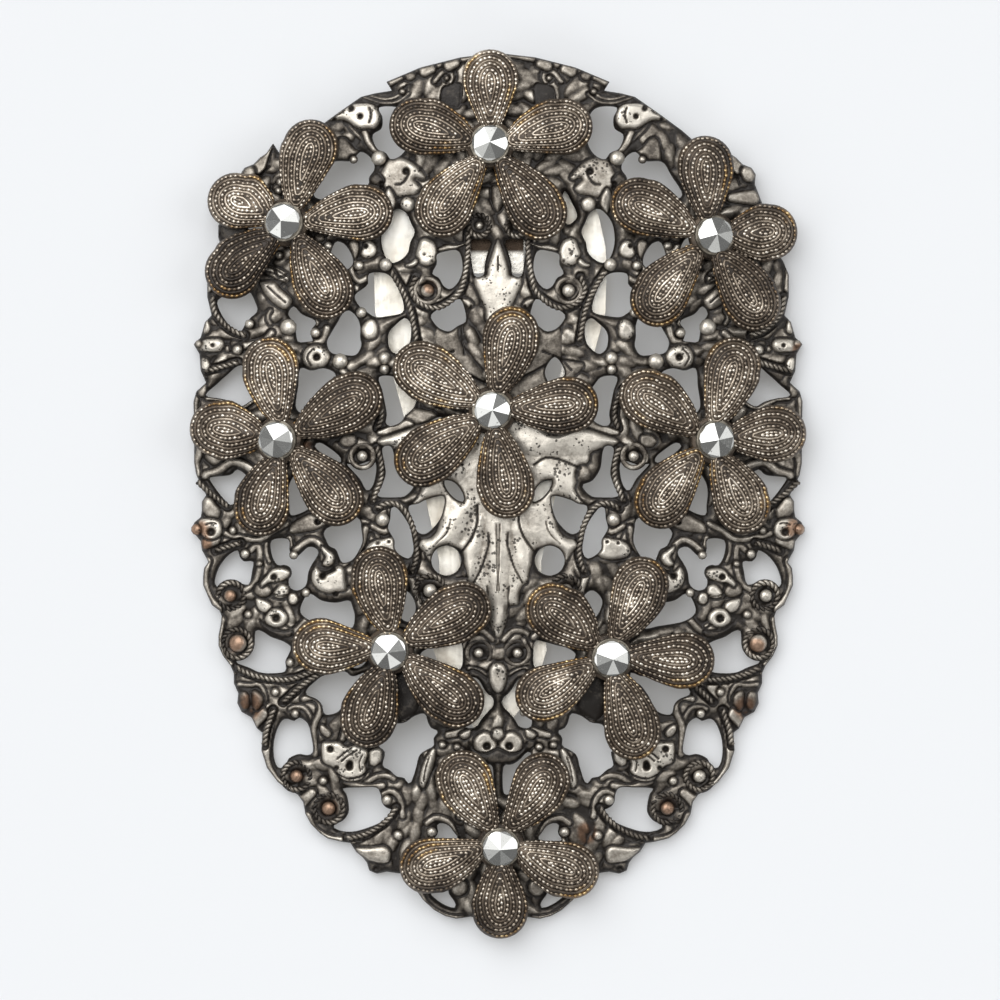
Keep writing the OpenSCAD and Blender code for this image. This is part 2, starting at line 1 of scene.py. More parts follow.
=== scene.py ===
"""A dress clip of oxidised silver plate: pierced scrollwork, nine milled flowers with
faceted steel studs, and a bright nickel flap behind. Tables are in millimetres."""

import math

import bmesh
import bpy
import numpy as np
from mathutils import Matrix, Vector


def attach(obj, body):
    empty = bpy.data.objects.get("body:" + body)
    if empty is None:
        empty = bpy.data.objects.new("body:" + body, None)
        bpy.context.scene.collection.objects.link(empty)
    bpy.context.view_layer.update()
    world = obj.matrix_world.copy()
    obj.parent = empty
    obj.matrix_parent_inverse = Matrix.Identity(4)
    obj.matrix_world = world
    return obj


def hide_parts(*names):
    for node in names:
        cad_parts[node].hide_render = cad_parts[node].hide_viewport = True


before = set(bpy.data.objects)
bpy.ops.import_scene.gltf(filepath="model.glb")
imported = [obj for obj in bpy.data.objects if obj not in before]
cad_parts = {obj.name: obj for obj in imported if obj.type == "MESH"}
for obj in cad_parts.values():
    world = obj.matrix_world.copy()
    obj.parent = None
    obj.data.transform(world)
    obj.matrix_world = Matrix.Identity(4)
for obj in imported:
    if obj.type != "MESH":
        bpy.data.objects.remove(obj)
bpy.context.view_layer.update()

MM = 0.001
TAU = 2 * math.pi

# The dome that the plate follows
CROWN_Z = 5.6
SIDE_DROP = 4.8
END_DROP = 5.15
DOME_HALF_W = 28
DOME_HALF_L = 50
CROWN_Y = 10

# The sheet's lower face, from the dome's middle surface
SHEET_LOW = -0.5
# Cuts that let the lower face follow the dome: how far apart, and how far out across and along
BACK_STEP = 3
BACK_REACH = (27, 39)
# Height of the sheet's top at its edges, and the height below which a point is on a side wall
EDGE_Z = 0.0
WALL_Z = -0.05
# Depth to which bosses, balls and rings reach down into the sheet
ROOT_Z = -0.3
# How far the sheet swells up from its edges, and over what distance
SWELL = 0.35
SWELL_REACH = 0.8
# Height of the chased strokes on the bare sheet
CHASED = 0.4
# Half width of the dark line round every form, and its width along the edges of the sheet: painted
# shade where the edges turn down, with some oxide in the crevices
DARK_LINE = 0.16
DARK_EDGE = 0.224
# How much smaller the plate's outline is drawn than it was traced
RIM_SCALE = 0.995
# Where the casting is divided into an upper and a lower half
QUARTER_Y = 4.0
# Unevenness of the casting: size of the waves, their height and a seed
MOTTLES = [(0.7, 0.045, 3), (2.2, 0.08, 4)]
CHASING_SEED = 7

# Roped wires: radius of a strand and of its twist, length of a turn, height of the middle
ROPE_R = 0.155
ROPE_TURN = 0.9
ROPE_Z = 0.46
# Half width of the band under a roped wire
ROPE_BAND = 0.42
# Rings round eyes: height and radius of the plain wire and of the band under a roped one
PLAIN_RING = (0.4, 0.24)
ROPED_RING = (0.2, 0.3)
# How high a ball stands over its own radius, and at most
BALL_SEAT = 0.45
BALL_TOP = 1.15
# How much brighter a point gets with its height over the metal round it, and how far
# out that metal reaches: once broadly, once close by
BROAD_WEAR = 0.7
BROAD_REACH = 0.8
CLOSE_WEAR = 1.2
CLOSE_REACH = 0.25
# How much darker the dark lines are, and how bright the side walls: painted shade where the metal turns
# down at edges and walls, with oxide in grooves and pits
LINE_SHADE_AND_OXIDE = -0.75
WALL_SHADE_AND_OXIDE = 0.05

# Flowers, as in the source
PETAL_END_R = 2.48
PETAL_ROOT_W = 0.85
PETAL_ROOT = 1.9
PETAL_WALL = 0.55
PETAL_CROWN = 1.25
# Points in each line round a petal, and the lines of its top: inset, how worn and how gilt
PETAL_POINTS = 48
PETAL_TOP = [
    (0.2, 0.16, 0.6), (0.5, 0.16, 0.55), (1.0, 0.18, 0.3),
    (1.5, 0.2, 0), (2.0, 0.2, 0), (2.35, 0.2, 0),
]
# How fast a petal's rows draw back from its root, with the square of their inset
ROOT_DRAW = 0.62
# Rows of beads from the edge in: how worn and how gilt; and the ridges between them: how worn. Both
# brighten inwards: painted shade at the petal's edge, painted light on its crown, with the wear
ROWS = [(0.22, 0.8), (0.24, 0.6), (0.28, 0.35), (0.31, 0.0), (0.34, 0.0)]
RIDGES = [0.46, 0.54, 0.62, 0.7]
# Inset of the first row, the rows' distance, and the size and pitch of the beads
EDGE_ROW = 0.2
ROW_PITCH = 0.55
BEAD_LONG = 0.42
BEAD_WIDE = 0.31
BEAD_HIGH = 0.15
BEAD_PITCH = 0.43
# Radii of a ridge and of the wire under a row of beads, and the length of a step along them
RIDGE_R = 0.145
UNDER_R = 0.095
RIDGE_STEP = 0.36
# How much brighter one step of a petal's painted light makes it
PAINTED_LIGHT_STEP = 0.16
# The unevenness of beads, ridges and petals
JITTER = np.random.default_rng(5)
# Height of the flowers over the plate, their hubs, bosses, studs, collars and rivets
FLOWER_LIFT = 1.45
HUB_R = 2.2
HUB_RISE = 0.25
BOSS_R = 1.5
STUD_D = 3.2
STUD_H = 1.05
COLLAR_R = 1.85
COLLAR_H = 0.35
SHANK_R = 0.6
SPREAD_R = 0.95
SPREAD_H = 0.35
# Room between a boss and the flower on it
GAP = 0.06
# The spring leaf is bright up to here; beyond, it is painted in dark brown shadow
SPRING_SHADOW_Y = 21.9

# The view: its width, middle, and the height of the plane that has this width
VIEW_W = 90
VIEW_MIDDLE = (0.18, -0.45)
VIEW_Z = 4

# Each flower: x, y, then its five petals: direction, length, how full the right and
# the left side are, and how much lighter than usual: painted light on a lit petal, painted shade on a
# shaded one
FLOWERS = [
    [-0.7, 31.3, [90, 8.7, 0.08, 0.08, 0.8], [164, 9.3, 0.4, 0.15, -0.6], [233.5, 9.6, 0.3, 0.1, 0.3],
     [306.5, 9.9, 0.2, 0.3, 0], [15, 9.4, 0.05, 0.4, 0]],
    [-18.7, 24.4, [75, 9.6, 0.05, 0.3, -0.3], [157, 7.9, 0.4, 0.05, 0.4], [219, 9.2, 0.4, 0.0, -0.8],
     [298, 9.4, 0.3, 0.25, 0], [8, 9.3, 0.1, 0.3, 0]],
    [18.9, 23.2, [92, 9.1, 0.15, 0.15, -0.4], [156, 9.4, 0.34, 0.15, 0], [231, 9.7, 0.34, 0.1, -0.6],
     [304.5, 9.7, 0.2, 0.4, -0.7], [5, 8.1, 0.25, 0.2, 0]],
    [-19.3, 5.0, [100, 9.3, 0.1, 0.3, 0.6], [171, 8.55, 0.3, 0.3, 0.3], [252, 9.0, 0.3, 0.05, -0.4],
     [312, 9.6, 0.2, 0.3, -0.2], [29, 9.9, 0.3, 0.3, -0.3]],
    [19.0, 5.0, [72, 9.5, 0.3, 0.15, 0.3], [146, 9.3, 0.4, 0.2, 0.4], [232, 9.5, 0.34, 0.1, -0.4],
     [297, 9.2, 0.15, 0.3, 0], [5, 8.8, 0.2, 0.2, 0]],
    [-0.5, 7.6, [76, 9.5, 0.3, 0.1, -0.2], [150, 9.9, 0.34, 0.34, 0.4], [215, 10.2, 0.34, 0.34, 0],
     [280, 9.8, 0.25, 0.25, 0], [4, 9.5, 0.3, 0.15, 0]],
    [-9.5, -13.8, [100, 9.3, 0.15, 0.35, 0], [178, 9.0, 0.05, 0.2, 0.4], [251, 9.3, 0.34, 0.2, -0.4],
     [321, 9.9, 0.35, 0.15, 0], [29, 9.8, 0.34, 0.34, 0]],
    [9.9, -14.4, [65, 9.5, 0.35, 0.1, 0], [141, 8.9, 0.45, 0.2, 0], [211, 9.3, 0.05, 0.25, 0],
     [288, 9.8, 0.1, 0.3, 0], [356, 9.6, 0.2, 0.1, 0]],
    [0.2, -31.3, [119.5, 9.2, 0.1, 0.35, 0.7], [198, 9.4, 0.05, 0.35, 0], [270, 8.7, 0.2, 0.1, -0.6],
     [338, 9.4, 0.35, 0.1, 0], [56, 9.3, 0.3, 0.1, 0.5]],
]

# Right half of the plate's outline from the top to the tip: x, y
OUTLINE = [
    [0.0, 40.0], [3.4, 39.6], [7.0, 38.7], [10.1, 37.4], [9.6, 36.6], [11.2, 36.35], [12.4, 36.05],
    [14.5, 34.6], [16.7, 33.0], [18.3, 31.6], [19.2, 30.8], [19.85, 31.05], [20.4, 31.9], [21.0, 31.0],
    [21.6, 30.6], [22.2, 30.0], [23.0, 29.7], [23.4, 29.1], [23.3, 28.2], [23.7, 27.2], [24.3, 25.6],
    [25.4, 24.5], [25.4, 23.4], [25.1, 22.4], [25.9, 21.2], [26.4, 20.0], [26.4, 18.0], [26.0, 16.3],
    [26.6, 15.7], [27.0, 14.3], [27.66, 13.7], [27.1, 12.8], [27.0, 11.3], [26.5, 10.2], [27.4, 9.4],
    [27.66, 8.5], [27.6, 5.8], [27.6, 2.9], [27.4, 1.8], [26.9, 0.8], [26.5, 0.0], [26.9, -0.6],
    [26.9, -1.35], [27.0, -2.0], [27.6, -2.5], [27.7, -3.0], [27.5, -3.6], [27.0, -4.2], [26.9, -5.0],
    [26.5, -5.7], [26.3, -6.1], [26.7, -6.6], [26.8, -7.4], [26.8, -8.2], [26.0, -10.0], [25.3, -10.5],
    [25.1, -11.0], [25.2, -11.8], [25.4, -12.8], [25.4, -13.7], [25.0, -14.6], [24.3, -15.5],
    [24.0, -16.2], [24.0, -17.1], [23.6, -18.0], [23.7, -18.9], [23.3, -19.7], [22.4, -20.2],
    [21.9, -21.2], [21.4, -21.6], [21.5, -23.2], [21.0, -24.8], [20.0, -26.1], [19.2, -26.7],
    [18.2, -27.2], [17.7, -27.9], [17.5, -29.0], [17.0, -29.9], [16.2, -30.7], [15.5, -31.2],
    [14.2, -31.5], [13.4, -31.6], [12.9, -32.4], [12.3, -32.9], [11.9, -33.4], [11.7, -34.1],
    [11.0, -34.4], [10.1, -34.2], [8.7, -34.4], [7.7, -35.5], [6.8, -36.8], [5.8, -37.7], [4.8, -38.25],
    [3.8, -38.5], [2.5, -38.3], [1.2, -38.6], [0.0, -38.9],
]

# Gaps of the right half, repeated on the left: the corners of each as x, y
GAPS = [
    [[10.7, 34.9], [9, 34.9], [8.2, 34], [8, 32], [8.6, 30.7], [9.6, 30.2], [10.1, 30.8], [10.9, 31.2],
     [11.3, 32.4], [10.5, 33], [10.4, 34]],
    [[12.4, 30.9], [11.5, 30.4], [11.1, 29.4], [11.6, 28.6], [11.7, 27.9], [13, 27.4], [15, 26.6],
     [16.6, 27], [15.6, 28.8], [14.8, 30], [13.2, 30.1]],
    [[22.7, 24.6], [20.4, 24.6], [20.3, 23.9], [22, 23.7]],
    [[14.7, 22.7], [14, 22.7], [13.5, 22.2], [13.1, 21.4], [13.1, 20.7], [13.8, 20.2], [14.6, 20.2],
     [15.2, 21]],
    [[7.5, 23.6], [7.9, 22.7], [8.1, 21.8], [8.8, 21.1], [9.6, 20.9], [10.2, 21.6], [10.5, 23],
     [10.2, 24.6], [9.2, 25.7], [8.3, 25.4], [7.8, 24.4]],
    [[11.6, 19.9], [10.4, 20], [9.6, 19.6], [9, 18.6], [8.5, 17.2], [8.6, 16.4], [9.8, 16.1], [11, 16],
     [11.7, 16.4], [12.4, 16.9], [12.9, 17.9], [12.1, 18.6], [11.7, 19]],
    [[8.4, 15.9], [7.9, 15.5], [7.8, 14.8], [8, 13.6], [9, 12.7], [9.7, 13.1], [9.9, 14.1],
     [9.7, 14.8], [9.2, 15.3]],
    [[13.4, 16.6], [12.7, 16], [12.4, 15.2], [12.4, 14.2], [12.3, 13.4], [12.8, 12.6], [13.8, 12.6],
     [15, 12.8], [15.4, 13.7], [15, 14.6], [14.4, 15.6], [14, 16.3]],
    [[5.5, 21.6], [4.7, 21.9], [3.7, 22], [3.3, 21.4], [3.2, 20.2], [3.6, 19.1], [4.3, 18.5],
     [4.9, 18.8], [5.3, 19.5], [5.9, 19.9], [5.5, 20.8]],
    [[6, 16.2], [5.2, 16.8], [4, 17.4], [3.4, 17.6], [3, 16.7], [2.9, 15.6], [3.6, 15.2], [4.4, 14.7],
     [5.3, 15], [5.9, 15.7]],
    [[2.4, 22.9], [0.7, 22.9], [0.9, 21.9], [1.2, 20.8], [1.3, 19.8], [2, 19.6], [2.3, 20.5]],
    [[18.9, 16.3], [18.4, 17], [17.7, 16.3], [16.6, 15.8], [16.4, 15.4], [16.8, 14.9], [16.8, 14.2],
     [16.6, 13.9], [17.2, 13.8], [18, 13.8], [18.2, 14.6], [18.3, 15.4]],
    [[25.3, 17.6], [24.2, 18.2], [23.2, 18.4], [22.4, 18.3], [21.9, 17.4], [21.7, 16.6], [22.3, 16],
     [22.8, 15.4], [23.2, 14.8], [24, 15.1], [24.7, 15.9], [25.2, 16.8]],
    [[23.2, 11.7], [24.5, 10.8], [25.4, 10], [26.4, 9], [25, 8.7], [24, 8.4], [23.3, 8], [22.6, 8.3],
     [21.6, 9.2], [21.9, 10.6]],
    [[17.8, 11.4], [16.8, 11.2], [15.6, 11.4], [14.6, 10.8], [15, 9.4], [16.2, 7.8], [17.4, 7.3],
     [18.2, 7.9], [18, 9.8]],
    [[10.7, 10.6], [9.3, 10.6], [8.4, 9.6], [7.4, 9.1], [7.5, 8], [8.4, 7.1], [8.5, 6.8], [9, 6.4],
     [9.7, 6.2], [10.1, 6.5], [10, 7.3], [10.2, 8.4], [10.4, 9.4]],
    [[16.5, 4.4], [16, 4.7], [15, 4.1], [14.2, 3.4], [14.2, 2.9], [14.8, 3.1], [15.8, 3.7]],
    [[13.6, 2.8], [12.7, 2.7], [11.3, 3.1], [10.95, 2.6], [11.1, 1.3], [11.5, 0.5], [11.9, 0.5],
     [12.4, 1.4], [13.1, 2.2]],
    [[10.4, 4.2], [9.7, 4.4], [9.4, 3.8], [9.2, 2.4], [8.5, 1.3], [7.6, 0.9], [7.9, 0.3], [8.4, -0.1],
     [9, -0.2], [10.8, -0.1], [10.4, 0.9], [10.1, 1.9], [10.2, 2.8]],
    [[23.5, 2.3], [22.6, 1.5], [23.3, 0.4], [24, -0.9], [24.9, -0.2], [26, 1.3], [25.9, 1.6],
     [24.2, 1.8]],
    [[18, 2], [17.6, 0.4], [17, -0.4], [16.8, -1], [17.7, -1.6], [18.7, -1.8], [18.8, -0.9],
     [18.9, 0.2], [18.7, 1.2]],
    [[8, -1], [7.2, -0.8], [6.4, -0.4], [4.9, -0.1], [4.9, -1.2], [5.3, -2.3], [6.2, -3.3],
     [6.9, -3.5], [7.6, -2.9], [7.9, -2]],
    [[9.6, -1.2], [9.2, -1.1], [8.8, -1.5], [8.3, -2.2], [7.9, -3], [7.7, -4], [7.6, -5], [8, -5.7],
     [8.8, -5.4], [9.3, -4.8], [9.3, -4.1], [9.7, -3.4], [9.9, -2.9], [9.7, -2.2]],
    [[15.7, -3.5], [15.4, -3], [14.6, -2.7], [13.6, -2.5], [12.9, -2], [12.4, -2.3], [12.3, -3],
     [12.2, -4.2], [12.7, -5.3], [13.2, -5.9], [14, -6.1], [14.3, -5.6], [14.6, -4.9], [15.2, -4.6],
     [15.5, -4]],
    [[20.4, -4.1], [18.9, -4], [18.8, -5], [18.4, -5.7], [17.9, -5.4], [17.1, -4.7], [16.4, -4.8],
     [16.2, -5.3], [16.8, -6.3], [17.1, -7], [17.3, -8.1], [18, -8.6], [18.7, -8.4], [18.9, -7.7],
     [18.6, -7.2], [18.7, -6.6], [19.2, -6.3], [19.9, -6.3], [20.4, -5.4]],
    [[23.5, -5], [23.3, -5.6], [22.9, -6], [22.1, -6], [22.2, -6.9], [22.4, -7.9], [22.8, -8.1],
     [23.9, -7.7], [24.7, -7.9], [25.1, -8.4], [25.6, -8], [25.4, -7], [25, -6.2], [24.3, -5.4]],
    [[16.9, -8.9], [15.9, -9.5], [14.6, -9.7], [13.4, -9.5], [13.1, -10.1], [12.9, -11], [13.2, -12],
     [14.5, -11.8], [16.7, -11.4], [17.8, -10.6], [17.5, -9.4]],
    [[21.9, -12.3], [21.3, -12.3], [20.5, -12.8], [19.4, -13.2], [18.7, -13.7], [18.9, -14.4],
     [19.2, -15], [19.2, -15.9], [20.5, -16.1], [21.6, -16], [22.5, -15.6], [23.7, -15.1],
     [22.9, -14.6], [22.3, -14.3], [22, -13.6]],
    [[15, -16.1], [13.8, -15.9], [13.3, -16.3], [12.8, -16.3], [12, -16], [12, -16.6], [12.8, -17.1],
     [13.5, -18], [14, -18.9], [14.5, -19.6], [15.6, -19.8], [15.9, -18.9], [16.4, -18.4], [17.3, -18],
     [17.2, -17.5], [16.7, -17], [15.8, -16.3]],
    [[17.9, -20.1], [18.4, -20.4], [19.1, -20.2], [19.6, -20.5], [20.1, -21.6], [20.3, -22.8],
     [20.2, -24], [19.8, -24.7], [19.2, -24.4], [18.9, -23.8], [18, -23.4], [17.2, -23.5],
     [16.7, -23.1], [16.9, -21.6], [17.2, -20.6]],
    [[6.3, -13.8], [5.2, -13.5], [4.1, -13.2], [3.3, -13.2], [3.2, -15.2], [3.6, -15.8], [4.3, -16.4],
     [5.3, -15.7], [6.4, -15.2], [7, -14.4]],
    [[0.45, -18.3], [0.45, -19.0], [0.9, -19.5], [1.5, -20.2], [2.0, -20.9], [3.0, -20.8],
     [2.9, -19.0], [2.6, -16.6], [2.2, -16.4], [1.7, -16.7], [1.1, -17.7]],
    [[9.4, -20.7], [8.4, -20.5], [7.5, -19.9], [6.6, -19.7], [6.3, -20.5], [6, -21], [5.4, -21.3],
     [5.8, -21.9], [5.8, -22.6], [6.5, -23], [7.1, -23.5], [7.4, -24.6], [7.8, -25.8], [8.1, -26],
     [8.5, -25.5], [9.1, -25.4], [9.8, -24.8], [10.4, -24.4], [10.2, -23.2], [10.8, -22.5],
     [9.8, -21.5]],
    [[14, -26.5], [12.4, -26.4], [11, -26.4], [10.6, -27], [10.5, -27.7], [10.1, -28.2], [9.4, -28.5],
     [9.7, -28.9], [10.7, -29.6], [11.9, -30.1], [13, -30.4], [14, -30.4], [14.8, -30.1],
     [14.8, -29.8], [14, -29.4], [13.5, -28.7], [13.5, -27.9], [13.7, -27]],
    [[5.5, -29.8], [5.1, -29.6], [4.5, -29.8], [4, -30.4], [3.7, -31.1], [5.7, -31.2], [5.4, -30.5]],
    [[6.1, -35.9], [4.7, -35.5], [4.4, -36.1], [3.9, -36.8], [3.9, -37.3], [4.5, -37.2], [5.4, -36.7]],
    [[4.65, -4.55], [5.6, -4.95], [6, -5.9], [5.6, -6.85], [4.65, -7.25], [3.7, -6.85], [3.3, -5.9],
     [3.7, -4.95]],
    [[4.8, 1.3], [4.6, 0.5], [3.9, -0.3], [3.1, -0.6], [3.2, 0.2], [3.9, 1.1]],
    [[0.5, -24.5], [1.2, -24.3], [1.9, -23.9], [2.65, -23.15], [3.0, -23.5], [2.4, -25], [1.2, -26.8],
     [0.5, -26.8]],
    [[8.6, -8.6], [7.8, -9], [7.4, -10.2], [7.9, -11.4], [8.8, -11], [9.4, -9.6]],
    [[17.1, 23.2], [16.4, 22], [17.1, 20.8], [17.8, 22]],
    [[6.0, 27.4], [6.6, 26.4], [7.1, 25.3], [7.0, 24.8], [6.3, 24.3], [5.8, 25], [5.7, 26.2]],
    [[5.1, 12.4], [4.2, 11], [5.1, 9.6], [6, 11]],
    [[21.4, 13.9], [20.2, 13], [21.4, 12.1], [22.6, 13]],
    [[12.8, -13.6], [11.9, -14.9], [12.8, -15.6], [13.7, -14.9]],
    [[21.2, -1.5], [20.1, -2.3], [21.2, -3.1], [22.3, -2.3]],
    [[5.2, 7], [4, 6.2], [5.2, 5.5], [6.4, 6.2]],
]

# Rounded lobes of the right half: x, y, radius, x, y, radius of the other end, top
LOBES = [
    [6.6, 38.1, 0.6, 6.0, 38.3, 0.5, 0.8],
    [4.4, 38.6, 0.6, 3.8, 38.8, 0.5, 0.8],
    [20.6, 31.4, 0.3, 21.6, 29.6, 0.75, 0.85], [22.5, 29.1, 0.75, 22.6, 28.8, 0.7, 0.9],
    [21.0, 26.8, 0.5, 22.9, 26.8, 0.8, 0.8], [23.9, 24.2, 1.0, 23.4, 22.7, 0.9, 0.7],
    [26.8, 10.5, 0.5, 26.7, 9.2, 0.5, 0.6],
    [8.5, 7.3, 0.8, 6.2, 6.8, 0.9, 0.7], [10.7, 5.6, 0.25, 8.2, 6.0, 0.8, 0.9],
    [26.3, -0.9, 0.8, 25.7, -1.6, 0.8, 0.85],
    [26.4, -4.4, 0.6, 25.7, -3.9, 0.8, 0.8],
    [21.9, -20.6, 0.5, 21.4, -19.8, 0.7, 0.8],
    [17.6, -27.6, 0.6, 16.8, -26.9, 0.5, 0.8],
    [3.2, -21.3, 0.5, 4.5, -21.6, 0.4, 0.85], [6.2, -24.5, 0.5, 6.2, -23.3, 0.6, 0.85],
    [3.5, -35.4, 0.9, 4.3, -34.6, 0.6, 0.8],
    [8.6, -18.0, 1.0, 8.2, -20.0, 0.8, 0.7],
]

# Forms across the middle: height, how far in they round, how worn, then the right
# half of the outline from top to bottom as x, y
MIDDLE_FORMS = [
    [0.85, 0.7, 0.9, [[0.0, 23.0], [0.35, 22.4], [0.7, 21.4], [1.0, 20.3], [1.1, 19.75], [1.5, 19.8],
     [2.05, 19.7], [2.2, 19.0], [1.9, 18.2], [1.5, 17.3], [1.2, 16.6], [1.1, 15.6], [0.0, 15.3]]],
    [0.7, 0.5, 0.35, [[0.0, 28.0], [0.6, 27.8], [0.7, 26.9], [0.5, 25.9], [0.0, 25.3]]],
    [0.6, 0.6, 0.12, [[0.0, -16.3], [0.9, -16.4], [1.7, -15.9], [2.5, -15.7], [2.7, -16.6],
     [2.0, -17.7], [1.0, -18.1], [0.0, -17.7]]],
    [0.95, 0.5, 0.62, [[0.0, -15.0], [0.5, -15.1], [0.85, -15.6], [0.9, -16.3], [0.8, -17.0],
     [0.5, -17.6], [0.0, -17.9]]],
    [0.6, 0.5, 0.15, [[0.0, -22.8], [1.2, -23.2], [2.2, -22.9], [2.6, -22.2], [2.4, -23.2],
     [1.6, -24.0], [0.6, -24.2], [0.0, -24.2]]],
    [0.8, 0.4, 0.6, [[0.0, -20.9], [0.5, -21.1], [0.6, -21.8], [0.0, -22.2]]],
    [0.75, 0.6, 0.85, [[0.0, 7.0], [2.0, 7.0], [4.0, 6.8], [6.0, 6.6], [7.6, 6.2], [9.1, 5.7],
     [10.2, 5.3], [10.9, 4.8], [10.3, 4.3], [9.3, 4.1], [8.4, 3.7], [8.25, 3.1], [8.0, 2.75],
     [7.5, 2.7], [7.1, 2.3], [7.0, 1.8], [7.1, 1.1], [6.95, 0.5], [7.5, -0.5], [8.0, -0.95],
     [7.7, -1.25], [6.9, -1.05], [5.9, -1.1], [5.2, -1.2], [5.2, -1.9], [5.5, -3.0], [6.0, -3.7],
     [6.9, -4.0], [7.2, -4.6], [6.7, -5.2], [6.2, -6.0], [5.8, -6.4], [5.75, -5.9], [5.3, -5.2],
     [4.6, -4.8], [3.6, -4.85], [3.2, -5.3], [3.1, -6.2], [2.85, -7.0], [2.7, -7.9], [2.3, -8.2],
     [2.0, -8.9], [1.9, -9.9], [1.0, -10.1], [0.9, -11.2], [0.4, -12.6], [0.0, -12.9]]],
]

